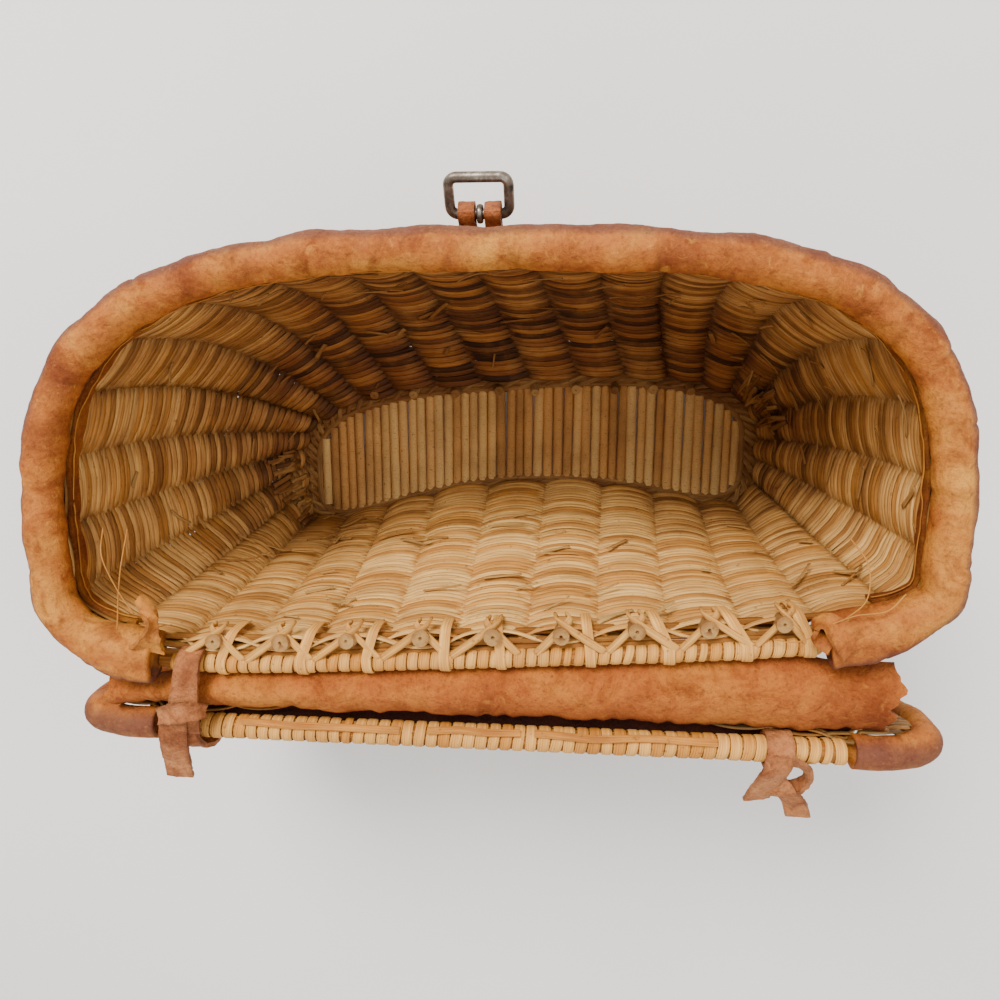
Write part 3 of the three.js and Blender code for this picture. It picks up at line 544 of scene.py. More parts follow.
def strand_rows(strands, rng, stakes, shares, look):
    """Weaves rows of split cane in and out of the stakes between two stake positions."""
    per_stake = look["stations"]
    first, last = stakes
    places = np.linspace(first, last, int(round((last - first) * per_stake)) + 1)
    rows = np.arange(len(shares))
    heights = even_heights(places, shares)
    crossing = np.floor(places + 0.5).astype(int)
    crossings = crossing - crossing.min()
    table = (len(rows), crossings.max() + 1)
    shift = rng.normal(0, look["jitter"], table)[:, crossings]
    shift = smooth_rows(shift, per_stake)
    middle, out, up = wall_frame(places[None, :] + 0 * heights, heights)
    pitch = np.linalg.norm(np.gradient(middle, axis=0), axis=2)
    wave = np.cos(math.pi * (places[None, :] + rows[:, None]))
    bow = np.sign(wave) * np.abs(wave) ** 0.8
    middle = middle + out * (bow * look["swing"])[..., None] + up * shift[..., None]
    lean = rng.normal(0, 0.10, table)[:, crossings]
    side = unit(up + out * (lean + 0.10)[..., None])
    tangent = unit(np.gradient(middle, axis=1))
    side = unit(side - tangent * (side * tangent).sum(-1, keepdims=True))
    flat = np.cross(tangent, side)
    size = rng.uniform(0.93, 1.14, table)
    thin = rng.random(table) < look["thin_share"]
    size = np.where(thin, size * rng.uniform(0.55, 0.8, table), size)
    for stake, row, span in look.get("slits", []):
        column = int(stake) - crossing.min()
        if 0 <= column < table[1]:
            size[row:row + span, column] *= 0.4
    width = look["width"] * pitch / look["pitch"] * smooth_rows(size[:, crossings], 3)
    width = width * (0.74 + 0.26 * np.abs(wave) ** 0.6)
    thick = look["thick"] * rng.uniform(0.8, 1.2, table)[:, crossings]
    random = rng.random(table)[:, crossings]
    # Green tone: the cane's browning with age, mixed with the walls' painted light and shade.
    age = look["age"](places[None, :] + 0 * heights, heights)
    # Painted shade, with some dust, in the valleys where a strand passes under a stake; deeper on the browner cane.
    recess_shade_and_dust = (1 - np.abs(wave) ** 0.8) * (0.12 + 0.68 * age)
    tone = np.stack([random, age, recess_shade_and_dust], -1)
    strands.add(middle, side, flat, width, smooth_rows(thick, 3), tone)


def smooth_rows(values, reach):
    """Smooths values along each row over the given number of stations."""
    kernel = np.hanning(reach + 2)[1:-1]
    kernel /= kernel.sum()
    padded = np.pad(values, ((0, 0), (reach, reach)), mode="edge")
    return np.stack([np.convolve(row, kernel, "same")[reach:-reach] for row in padded])


def wall_age_and_shade(stake, height):
    """How brown the cane is drawn: real browning with age, plus painted light, paler on the back wall where light
    falls and darker inside the front and at the foot where shade falls.
    """
    turn = (stake / STAKES) % 1.0
    front = np.exp(-((turn - 0.5) / 0.17) ** 2)
    back = np.exp(-(np.minimum(turn, 1 - turn) / 0.13) ** 2)
    low = smoothstep(0.5, 0.05, height)
    age = 0.42 + 0.55 * front - 0.38 * back + 0.42 * low * (1 - 0.35 * back)
    return np.clip(age, 0, 1)


def weave_wall(name, stakes, seed, settings, slits=()):
    rng = np.random.default_rng(seed)
    strands = Strands()
    rows = settings.weave_rows
    shares = (np.arange(rows) + 0.5) / rows
    look = {
        "stations": 8, "jitter": 0.2, "swing": 3.25,
        "width": settings.strand_width / MM, "pitch": 1.8,
        "thick": settings.strand_thickness / MM, "thin_share": 0.02, "age": wall_age_and_shade,
        "slits": slits,
    }
    strand_rows(strands, rng, stakes, shares, look)
    piece = strands.finish(name, MATERIALS["cane"])
    return place(piece, "creel", "woven_cane", "basket_body")


def stand_stakes():
    """The upright stakes inside the weave."""
    rng = np.random.default_rng(41)
    strands = Strands()
    heights = np.linspace(0, 1, 26)
    for k in range(STAKES):
        middle, _, _ = wall_frame(np.full(26, float(k)), heights)
        side = np.cross(unit(np.gradient(middle, axis=0)), [0, 0, 1.0])
        tone = (rng.random(), 0.75, 0.5)
        strands.add_path(middle, side, 4.6, 4.2, tone, ROUND)
    return place(strands.finish("wall_stakes", MATERIALS["cane"]), "creel", "cane_sticks", "basket_body")


def twine_border():
    """Foot border: three strands twined round the base, over a bundle of bent stakes."""
    rng = np.random.default_rng(17)
    strands = Strands()
    count = 620
    places = np.linspace(0, STAKES, count)
    outer = foot_at(FOOT, places)
    inner = foot_at(PANEL, places)
    ground = np.concatenate([mix(outer, inner, 0.42), np.full((count, 1), 3.1)], 1)
    across = np.concatenate([unit(outer - inner), np.zeros((count, 1))], 1)
    upright = np.array([0, 0, 1.0])
    for turn in range(3):
        phase = 2 * math.pi * (places * 0.75 + turn / 3)
        reach = 3.0 + 0.2 * wobble(rng, count, 9)
        middle = ground + across * (np.cos(phase) * reach)[:, None]
        middle = middle + upright * (np.sin(phase) * 1.5)[:, None]
        strands.add_path(middle, across, 3.4, 2.9, (0.3 + 0.25 * turn, 0.72, 0.5), ROUND)
    for share, height, size in ((0.02, 3.2, 5.2), (0.4, 2.9, 3.6), (0.86, 3.0, 4.6)):
        ring = np.concatenate([mix(outer, inner, share), np.full((count, 1), height)], 1)
        ring = ring + upright * (0.25 * wobble(rng, count, 14))[:, None]
        strands.add_path(ring, across, size, 5.0, (rng.random(), 0.8, 0.5), ROUND)
    return place(strands.finish("foot_border", MATERIALS["cane"]), "creel", "woven_cane", "basket_body")


def height_at(stake, share):
    """Height at which a share of the way up along the wall is reached."""
    return float(even_heights(np.array([float(stake)]), np.array([share]))[0, 0])


def loose_straws():
    """Broken and sprung strand ends on the inside of the wall."""
    rng = np.random.default_rng(5)
    strands = Strands()
    for _ in range(120):
        stake = rng.uniform(0, STAKES)
        height = height_at(stake, rng.uniform(0.05, 0.97))
        length = rng.uniform(0.12, 0.7)
        drift = rng.normal(0, 0.035)
        lift = rng.uniform(4.2, 5.4)
        spring = rng.uniform(0, 3.5) if rng.random() < 0.35 else 0.3
        places = np.linspace(0, 1, 9)
        middle, out, up = wall_frame(stake + length * places, np.clip(height + drift * places, 0.01, 0.99))
        path = middle - out * (lift + spring * places ** 2)[:, None]
        # Green tone follows the wall's browning and its painted shade.
        tone = (rng.uniform(0.3, 1), float(wall_age_and_shade(np.array(stake), np.array(height))) * 0.8, 0.5)
        strands.add_path(path, up, rng.uniform(0.7, 2.6), 0.5, tone)
    return place(strands.finish("loose_straws", MATERIALS["cane"]), "creel", "woven_cane")


def corner_fans():
    """Short split ends packed fanwise where the stakes turn into the foot."""
    rng = np.random.default_rng(23)
    strands = Strands()
    for centre, spread in ((9.0, 1.3), (24.8, 1.9)):
        for _ in range(26):
            stake = centre + rng.uniform(-spread, spread)
            start = rng.uniform(0.005, 0.09)
            height = height_at(stake, start)
            rise = height_at(stake, start + rng.uniform(0.05, 0.1)) - height
            drift = rng.normal(0, 0.12)
            places = np.linspace(0, 1, 6)
            middle, out, _ = wall_frame(stake + drift * places, np.clip(height + rise * places, 0, 0.98))
            path = middle - out * (4.0 + 1.0 * np.sin(places * math.pi))[:, None]
            side = np.cross(unit(np.gradient(path, axis=0)), out)
            tone = (rng.random(), rng.uniform(0.55, 1.0), 0.5)
            strands.add_path(path, side, rng.uniform(1.4, 2.8), 1.0, tone)
    return place(strands.finish("corner_fans", MATERIALS["cane"]), "creel", "woven_cane")


def top_pairing():
    """The last pair of strands along the back wall, arched round every stake."""
    rng = np.random.default_rng(9)
    strands = Strands()
    for stake in range(-4, 5):
        x = MOUTH.at(MOUTH_WALK.angle_at(np.array(stake / STAKES)))[0]
        toward = 1 if x > -10 else -1
        for start, end, rise in ((17.0, -2.0, 0.9), (-11.0, 2.4, -0.3)):
            far = back_rod_line(np.array(np.clip(x + toward * start, -131, 133)))
            near = back_rod_line(np.array(x + toward * end))
            path = spline([
                far + [0, -2.4, 3.0], mix(far, near, 0.5) + [0, -9.2, 3.0 + rise],
                near + [0, -16.0, 1.6 + rise], near + [-toward * 1.2, -17.2, -1.8],
            ], 22)
            tone = (rng.uniform(0.55, 1.0), 0.1, 0.2)
            strands.add_path(path, [toward * 0.55, 1.0, 0], rng.uniform(3.0, 3.7), 1.4, tone, SPLIT_CANE)
    places = np.linspace(-5.0, 5.05, 150)
    for lift, reach, size in ((172.6, 2.6, 4.2), (171.0, -1.2, 4.0), (174.2, 5.2, 3.0)):
        middle, out, _ = wall_frame(places, np.full(150, 0.985))
        path = middle + out * (reach + 0.4 * wobble(rng, 150, 8))[:, None]
        path[:, 2] = lift + 0.5 * wobble(rng, 150, 6)
        strands.add_path(path, [0, 0, 1.0], size, 3.0, (rng.uniform(0.3, 0.6), 0.4, 0.5), ROUND)
    return place(strands.finish("top_pairing", MATERIALS["pale_cane"]), "creel", "woven_cane")


# ---- rods and lashings


def back_rod_line(x):
    angle = MOUTH.back_angle(x)
    out = WALL_OVER_STAKE / 2 + GAP + BACK_ROD_RADIUS
    level = MOUTH.at(angle) + MOUTH.outward(angle) * out
    return np.concatenate([level, np.full((*level.shape[:-1], 1), BACK_ROD_HEIGHT)], -1)


def wrap_rod(name, line, radius, pitch, seed, slots, nodes):
    """A core rod wound with flat peeled cane, its turns a little uneven."""
    rng = np.random.default_rng(seed)
    strands = Strands()
    strands.add_path(line, [0, 0, 1.0], 2 * (radius - 0.9), 2 * (radius - 0.9), (0.2, 0.5, 0), ROUND)
    steps = np.linalg.norm(np.diff(line, axis=0), axis=1)
    lengths = np.concatenate([[0], np.cumsum(steps)])
    at = pitch * 0.6
    while at < lengths[-1] - pitch * 0.5:
        width = pitch * rng.uniform(0.82, 0.95)
        if rng.random() < 0.06:
            width *= 0.72
        turn = np.linspace(0, 2 * math.pi, 19)
        lean = rng.normal(0.2, 0.05) * pitch
        place_at = at + pitch * 0.5 * (turn / (2 * math.pi) - 0.5) + lean * np.cos(turn)
        centre = np.stack([np.interp(place_at, lengths, line[:, i]) for i in range(3)], 1)
        along = unit(line[-1] - line[0])
        level = unit(np.cross([0, 0, 1.0], along))
        round_way = np.cos(turn)[:, None] * level + np.sin(turn)[:, None] * np.array([0, 0, 1.0])
        path = centre + round_way * (radius - 0.36 + rng.normal(0, 0.06))
        tone = (rng.uniform(0.25, 1.0), rng.uniform(0.0, 0.22), 0)
        strands.add_path(path, along, width, 0.9, tone, SPLIT_CANE)
        at += pitch * rng.uniform(0.98, 1.03)
    piece = strands.finish(name, MATERIALS["pale_cane"], 40)
    return place(piece, "creel", slots, *nodes)


def back_lashings():
    """Flat cane loops that tie the back rod to the top of the wall."""
    rng = np.random.default_rng(31)
    strands = Strands()
    for x, lean in LASHINGS:
        out = np.append(MOUTH.outward(MOUTH.back_angle(x)), 0)
        rod = back_rod_line(np.array(x))
        top = np.array([0, 0, 1.0])
        along = np.array([1.0, 0, 0])
        ring = BACK_ROD_RADIUS + 0.42
        drop = rng.uniform(10, 13)
        path = [rod + ring * (out * math.cos(t) + top * math.sin(t)) for t in np.linspace(-1.2, 2.3, 9)]
        path.append(rod - out * 9.5 + top * 2.6 + along * lean * 0.45)
        path.append(rod - out * 14.2 + top * 0.2 + along * lean * 0.8)
        path.append(rod - out * 15.0 + top * (-drop * 0.7) + along * lean)
        path.append(rod - out * 12.8 + top * (-drop) + along * lean * 1.05)
        path = spline(path, 34)
        strands.add_path(path, along, rng.uniform(4.0, 4.7), 0.8, (rng.uniform(0.6, 1), 0.08, 0))
    return place(strands.finish("back_lashings", MATERIALS["pale_cane"], 40), "creel", "wrapped_cane")


# ---- leather


def tube(line, level, radius, tone, count=22, name="tube", material=None, squash=1.0, ends=0.6):
    """A closed round skin along a line; radius and tone are arrays of stations by turns."""
    turn = np.linspace(0, 2 * math.pi, count, endpoint=False)
    tangent = unit(np.gradient(line, axis=0))
    level = unit(level - tangent * (level * tangent).sum(-1, keepdims=True))
    upright = np.cross(level, tangent)
    upright *= np.sign(upright[:, 2:3].sum())
    ring = (
        line[:, None]
        + level[:, None] * (np.cos(turn)[None, :, None] * radius[..., None])
        + upright[:, None] * (np.sin(turn)[None, :, None] * radius[..., None] * squash)
    )
    rings = [mix(line[0], ring[0], ends), *ring, mix(line[-1], ring[-1], ends)]
    inset_first = line[0] + tangent[0] * 3.0
    inset_last = line[-1] - tangent[-1] * 3.0
    rings = [mix(inset_first, ring[0] + tangent[0] * 3.0, ends * 0.9), *rings]
    rings.append(mix(inset_last, ring[-1] - tangent[-1] * 3.0, ends * 0.9))
    points = np.stack(rings)
    tones = np.concatenate([tone[:1], tone[:1], tone, tone[-1:], tone[-1:]])
    total = len(points)
    index = np.arange(total * count).reshape(total, count)
    turned = np.roll(index, -1, axis=1)
    faces = np.stack([index[:-1], turned[:-1], turned[1:], index[1:]], -1).reshape(-1, 4).tolist()
    faces.append(index[0, ::-1].tolist())
    faces.append(index[-1].tolist())
    return mesh_piece(name, points.reshape(-1, 3), faces, tones.reshape(-1, 3), material)


def mesh_piece(name, points, faces, tones, material, angle=None):
    mesh = bpy.data.meshes.new(name)
    mesh.from_pydata((np.asarray(points) * MM).tolist(), [], faces)
    colour = mesh.attributes.new("tone", "FLOAT_COLOR", "POINT")
    colour.data.foreach_set("color", np.c_[tones, np.ones(len(tones))].ravel())
    mesh.materials.append(material)
    piece = bpy.data.objects.new(name, mesh)
    bpy.context.scene.collection.objects.link(piece)
    face_outwards(piece)
    shade(piece, angle)
    return piece


def rough(points, size, seed=0.0, octaves=3):
    """Smooth 3-D noise at each point, from about -1 to 1; size is its grain in mm."""
    flat = points.reshape(-1, 3) / size + seed
    values = [noise.fractal(Vector(p), 0.6, 2.0, octaves) for p in flat]
    return np.array(values).reshape(points.shape[:-1])


def rim_line(count):
    start = MOUTH.back_angle(RIM_END_X)
    end = MOUTH.back_angle(4 - RIM_END_X) - 2 * math.pi
    angle = np.linspace(start, end, count)
    share = smoothstep(0.5, 0.8, np.sin(angle))
    level = MOUTH.at(angle) + MOUTH.outward(angle) * (RIM_END_OUT * share)[:, None]
    line = np.concatenate([level, (RIM_HEIGHT - share)[:, None]], 1)
    line = spline(line[::4], count)
    tangent = np.gradient(line, axis=0)
    out = unit(np.stack([-tangent[:, 1], tangent[:, 0], 0 * tangent[:, 0]], 1))
    middle = np.array([0.0, 0.0, RIM_HEIGHT])
    out *= np.sign(((line - middle) * out).sum(-1, keepdims=True))
    return line, out


def bind_rim():
    """The leather roll round the mouth."""
    count, around = 560, 28
    line, out = rim_line(count)
    turn = np.linspace(0, 2 * math.pi, around, endpoint=False)
    ring = out[:, None] * np.cos(turn)[None, :, None] + np.array([0, 0, 1.0]) * np.sin(turn)[None, :, None]
    spots = line[:, None] + ring * RIM_RADIUS
    swell = rough(spots, 30.0, 3.1) * 0.9 + rough(spots, 9.0, 9.0) * 0.4
    rng = np.random.default_rng(12)
    crease = np.zeros((count, around))
    at = 10.0
    lengths = np.concatenate([[0], np.cumsum(np.linalg.norm(np.diff(line, axis=0), axis=1))])
    while at < lengths[-1] - 10:
        lean = rng.normal(0, 3.0)
        depth = rng.uniform(0.15, 0.75)
        centre = at + lean * np.cos(turn)[None, :]
        near = np.exp(-((lengths[:, None] - centre) / rng.uniform(0.8, 1.8)) ** 2)
        side = np.clip(0.35 + 0.65 * np.cos(turn - rng.choice([0.0, 2.6]))[None, :], 0, 1)
        crease += near * side * depth
        at += rng.uniform(9, 30)
    inward = np.clip(-np.cos(turn), 0, 1)[None, :]
    facets = np.abs(np.sin(lengths / 36.0 * math.pi + 0.8 * np.sin(lengths / 90.0)))[:, None]
    radius = RIM_RADIUS + 0.1 - 1.3 * inward + swell - crease - 0.9 * (1 - facets) * (1 - inward)
    share = np.minimum(np.arange(count), count - 1 - np.arange(count)) / (count - 1.0)
    flare = 1 - smoothstep(0.015, 0.085, share)
    radius = radius + flare[:, None] * (8.5 * inward ** 1.4 - 0.6)
    outside = smoothstep(0.2, 0.85, np.cos(turn))[None, :] + 0 * radius
    under = np.clip(-np.sin(turn), 0, 1)[None, :] + 0 * radius
    # Tone: red is painted shade in the creases, blue painted shade on the roll's underside, green the browner
    # outside.
    tone = np.stack([np.clip(crease * 0.45, 0, 0.6), outside, 0.55 * under], -1)
    piece = tube(line, out, radius, tone, around, "rim_roll", MATERIALS["roll"])
    return place(piece, "creel", "roll_leather", "rim_leather")


def hang_threads():
    """Bits of the sewing thread that hang loose at the ends of the roll."""
    rng = np.random.default_rng(66)
    strands = Strands()
    for course in (
        [(141, 56, 187), (148, 44, 189), (152, 30, 187), (153, 20, 183)],
        [(139, 60, 186), (134, 62, 184), (128, 60, 182)],
        [(149, 62, 187), (146, 40, 186), (147, 22, 178)],
        [(-136, 52, 188), (-146, 47, 189.5), (-156, 44, 189.5), (-163, 38, 188)],
        [(-140, 50, 188.5), (-148, 40, 187), (-150, 28, 184), (-143, 18, 182)],
        [(-134, 55, 186), (-126, 60, 183), (-119, 60, 181)],
    ):
        path = spline(np.array(course, float) + rng.normal(0, 0.6, (len(course), 3)), 26)
        strands.add_path(path, [0, 0, 1.0], 0.55, 0.55, (0.5, 0.35, 0), ROUND)
    return place(strands.finish("loose_threads", MATERIALS["pale_cane"]), "creel", "roll_leather")


def bind_rim_lap():
    """The leather's lower edge inside the mouth, with its torn pale edge."""
    rng = np.random.default_rng(8)
    count = 460
    places = np.linspace(5.25, STAKES - 5.35, count)
    strip = Strands()
    low = 0.958 + 0.008 * wobble(rng, count, 16) + 0.006 * wobble(rng, count, 4)
    heights = [np.full(count, 0.997), mix(low, 1.0, 0.55), low]
    swell = np.cos(2 * math.pi * places) * 0.45
    rows = []
    for height, lift in zip(heights, (5.3, 5.5, 5.1)):
        middle, out, _ = wall_frame(places, height)
        rows.append(middle - out * (lift + swell)[:, None])
    thick = 1.3
    _, out, _ = wall_frame(places, heights[1])
    loops = [rows[0], rows[1], rows[2], rows[2] + out * thick, rows[1] + out * thick, rows[0] + out * thick]
    points = np.stack(loops, 1)
    index = np.arange(count * 6).reshape(count, 6)
    turned = np.roll(index, -1, axis=1)
    faces = np.stack([index[:-1], turned[:-1], turned[1:], index[1:]], -1).reshape(-1, 4).tolist()
    faces.append(index[0, ::-1].tolist())
    faces.append(index[-1].tolist())
    # The lap is painted darker all over as shade under the roll, with red and blue tone.
    tone = np.zeros((count, 6, 3))
    tone[..., 0] = 0.12
    tone[..., 2] = 0.45
    lap = mesh_piece("rim_lap", points.reshape(-1, 3), faces, tone.reshape(-1, 3), MATERIALS["roll"], 50)
    place(lap, "creel", "roll_leather", "rim_leather")
    middle, out, _ = wall_frame(places, np.full(count, 0.992))
    edge = middle - out * (6.3 + 0.5 * wobble(rng, count, 7) + 0.25 * wobble(rng, count, 3))[:, None]
    edge[:, 2] += 0.9 * wobble(rng, count, 11)
    first = 0
    while first < count - 12:
        last = min(count, first + int(rng.uniform(22, 90)))
        strip.add_path(edge[first:last], [0, 0, 1.0], rng.uniform(0.5, 1.0), 0.5, (0.4, 0.45, 0), ROUND)
        first = last + int(rng.uniform(0, 5))
    place(strip.finish("rim_raw_edge", MATERIALS["pale_cane"]), "creel", "roll_leather", "rim_leather")


def skin(name, top, thick, tone, material, nodes=(), slot="strap_leather", angle=60):
    """A closed leather sheet from a grid of points; it thickens away from its face."""
    rows, columns = top.shape[:2]
    down = unit(np.cross(np.gradient(top, axis=0), np.gradient(top, axis=1)))
    thick = np.broadcast_to(thick, (rows, columns))[..., None]
    bottom = top - down * thick
    index = np.arange(rows * columns).reshape(rows, columns)
    under = index + rows * columns
    faces = np.stack([index[:-1, :-1], index[1:, :-1], index[1:, 1:], index[:-1, 1:]], -1).reshape(-1, 4).tolist()
    faces += np.stack([under[:-1, :-1], under[:-1, 1:], under[1:, 1:], under[1:, :-1]], -1).reshape(-1, 4).tolist()
    border = np.concatenate([index[0, :-1], index[:-1, -1], index[-1, :0:-1], index[:0:-1, 0]])
    below = border + rows * columns
    ahead, ahead_below = np.roll(border, -1), np.roll(below, -1)
    faces += np.stack([border, ahead, ahead_below, below], -1).tolist()
    points = np.concatenate([top.reshape(-1, 3), bottom.reshape(-1, 3)])
    tones = np.broadcast_to(tone, (rows, columns, 3)).reshape(-1, 3)
    piece = mesh_piece(name, points, faces, np.concatenate([tones, tones]), material, angle)
    return place(piece, "creel", slot, *nodes)


def hang_flap():
    """The arched suede flap over the hinge gap, torn along its edges."""
    rng = np.random.default_rng(3)
    length, across = 190, 22
    x = np.linspace(-169, 163, length)
    beside = np.clip(x, -RIM_END_X, RIM_END_X)
    rod = back_rod_line(beside)
    past = smoothstep(RIM_END_X - 12, RIM_END_X + RIM_RADIUS, np.abs(x))
    near = rod[:, 1] + BACK_ROD_RADIUS + 0.4 + 3.5 * past
    far = np.full(length, 103.8)
    far += 1.0 * wobble(rng, length, 9) + 0.9 * wobble(rng, length, 2.2)
    share = np.linspace(0, 1, across)[None, :]
    arch = np.sin(math.pi * share)
    y = mix(near[:, None], far[:, None], share)
    z = mix(171.0, 168.6, share) + 9.0 * arch ** 0.85 + 0 * y
    end_tear = 3.2 * wobble(rng, across, 3)[None, :] + 2.0 * wobble(rng, across, 1.4)[None, :]
    x_grid = x[:, None] + end_tear * (smoothstep(-150, -169, x) + 0.35 * smoothstep(150, 163, x))[:, None]
    top = np.stack([x_grid, y, z], -1)
    dents = rough(top, 26.0, 5.0) * 0.8 + rough(top, 7.0, 2.0) * 0.3
    top[..., 2] += dents * (0.3 + 0.7 * arch)
    # Painted shade along both long edges of the flap, where it meets the rim and tucks toward the lid.
    edge = np.clip(1 - np.minimum(share, 1 - share) * 9, 0, 1)
    tone = np.zeros((length, across, 3))
    tone[..., 0] = 0.30 * edge
    tone[..., 2] = 0.4 * edge
    flap = skin("hinge_flap_suede", top, 2.0, tone, MATERIALS["suede"], ("hinge_flap",), "flap_suede")
    # The flap's edge turned down under the lid rod: leather, but painted near black as shade so the gap behind it
    # reads dark.
    turned = np.array([[102.6, 168.6], [104.0, 165.4], [107.6, 163.2], [112.5, 162.6], [116.5, 163.6]])
    under = np.zeros((120, len(turned), 3))
    under[..., 0] = np.linspace(-158, 152, 120)[:, None]
    under[..., 1:] = turned[None]
    under[..., 2] += 0.4 * wobble(rng, 120, 5)[:, None]
    dark = np.zeros((120, len(turned), 3))
    dark[..., 0] = 0.8
    dark[..., 2] = 0.8
    skin("hinge_flap_turned_edge_painted_shade", under, 1.2, dark, MATERIALS["suede"], (), "flap_suede")


def strap(name, points, sides, widths, thick, material, nodes, count=60, across=7, curl=0.0, seed=1.0):
    """A leather thong along a path, with the direction and size of its width at each point."""
    points = np.asarray(points, float)
    data = np.hstack([points, np.asarray(sides, float), np.asarray(widths, float)[:, None]])
    line = spline(data, count)
    centre, side, width = line[:, :3], line[:, 3:6], line[:, 6]
    tangent = unit(np.gradient(centre, axis=0))
    side = unit(side - tangent * (side * tangent).sum(-1, keepdims=True))
    up = np.cross(tangent, side)
    share = np.linspace(-0.5, 0.5, across)
    grid = centre[:, None] + side[:, None] * (share[None, :, None] * width[:, None, None])
    grid = grid + up[:, None] * (curl * (4 * share ** 2))[None, :, None]
    crinkle = rough(grid, 6.0, seed) * 0.45 + rough(grid, 2.5, seed + 4) * 0.2
    grid = grid + up[:, None] * crinkle[..., None]
    tone = np.zeros((count, across, 3))
    # Red tone: painted shade in the crinkles' dents; the long edges a little darker.
    tone[..., 0] = np.clip(-crinkle * 0.7, 0, 0.5) + 0.25 * (np.abs(share) > 0.45)
    grid = grid - up[:, None] * (thick / 2)
    return skin(name, grid[:, ::-1], thick, tone[:, ::-1], material, nodes, "strap_leather")


# ---- lid


LID_SETBACK = LID_ROD_RADIUS + GAP + LID_THICKNESS / 2
LID_LEAN = (
    math.acos(min(1.0, (LID_ROD_HEIGHT - LID_RIM_RADIUS) / math.hypot(LID_LENGTH, LID_SETBACK)))
    + math.atan2(LID_SETBACK, LID_LENGTH)
)


def lid_at(across, down, out):
    x = np.asarray(across, float) + LID_SHIFT_X
    y = -LID_SETBACK + np.asarray(out, float) + 0 * x
    z = -np.asarray(down, float) + 0 * x
    c, s = math.cos(LID_LEAN), math.sin(LID_LEAN)
    return np.stack([x, y * c - z * s + LID_ROD_Y, y * s + z * c + LID_ROD_HEIGHT], -1)


def lid_outline(count=90):
    """Half width of the lid at each distance down from its rod, and the edge's points."""
    corner = np.linspace(0, math.pi / 2, 12)
    across = LID_HALF_WIDTH - LID_CORNER + LID_CORNER * np.sin(corner)
    down = LID_CORNER - LID_CORNER * np.cos(corner)
    turn = np.linspace(0, math.pi / 2, count)[1:]
    a, d = np.cos(turn), np.sin(turn)
    spread = (np.abs(a) ** LID_POWER + d ** LID_POWER) ** (1 / LID_POWER)
    across = np.concatenate([across, LID_HALF_WIDTH * a / spread])
    down = np.concatenate([down, LID_CORNER + (LID_LENGTH - LID_CORNER) * d / spread])
    return across, down


def lid_dome(across, down):
    """How far the lid's middle surface stands out at a point of it."""
    edge_across, edge_down = lid_outline()
    inset = LID_RIM_RADIUS + 2 * GAP
    middle = LID_LENGTH / 2
    angles = np.arctan2(edge_across, edge_down - middle)
    reach = np.hypot(edge_across - inset * 0.7, edge_down - middle)
    order = np.argsort(angles)
    here = np.arctan2(np.abs(across), down - middle)
    limit = np.interp(here, angles[order], reach[order])
    share = np.clip(np.hypot(across, down - middle) / limit, 0, 1)
    return -LID_DOME * (1 - share ** 2)


def lid_half_at(down):
    edge_across, edge_down = lid_outline()
    return np.interp(down, edge_down, edge_across)


def weave_lid():
    rng = np.random.default_rng(77)
    strands = Strands()
    pitch = 25.5
    rows = 84
    downs = np.linspace(1.2, LID_LENGTH - LID_RIM_RADIUS - 2.0, rows)
    for row, down in enumerate(downs):
        reach = lid_half_at(down) - LID_RIM_RADIUS - 0.5
        if reach < 12:
            continue
        count = max(6, int(2 * reach / pitch * 8))
        across = np.linspace(-reach, reach, count)
        place_at = across / pitch
        wave = np.cos(math.pi * (place_at + row))
        crossing = np.floor(place_at + 0.5).astype(int)
        crossing -= crossing.min()
        size = rng.uniform(0.8, 1.1, crossing.max() + 1)[crossing]
        random = rng.random(crossing.max() + 1)[crossing]
        level = down + rng.normal(0, 0.2) + 0 * across
        joined = 5.2 * (1 - smoothstep(2.0, 17.0, level)) * (np.abs(across) < LID_ROD_HALF + 4)
        out = lid_dome(across, level) + joined + np.sign(wave) * np.abs(wave) ** 0.8 * 1.75
        path = lid_at(across, level, out)
        ahead = lid_at(across, level + 2.0, lid_dome(across, level + 2.0))
        behind = lid_at(across, level - 2.0, lid_dome(across, level - 2.0))
        width = 4.1 * size * (0.74 + 0.26 * np.abs(wave) ** 0.6)
        tone = np.stack([random, 0.32 + 0.2 * random[::-1], random], -1)[None]
        tangent = unit(np.gradient(path, axis=0))
        side = unit(ahead - behind)
        side = unit(side - tangent * (side * tangent).sum(-1, keepdims=True))
        strands.add(path[None], side[None], np.cross(tangent, side)[None], width[None], 1.05, tone)
    for stake in range(-7, 8):
        across = stake * pitch
        down = np.linspace(1.0, LID_LENGTH - LID_RIM_RADIUS, 60)
        down = down[lid_half_at(down) - LID_RIM_RADIUS > abs(across)]
        if len(down) < 4:
            continue
        path = lid_at(across + 0 * down, down, lid_dome(across + 0 * down, down))
        strands.add_path(path, [1.0, 0, 0], 4.2, 2.4, (0.4, 0.5, 0), ROUND)
    piece = strands.finish("lid_weaving", MATERIALS["cane"])
    return place(piece, "creel", "woven_cane", "lid_weave")


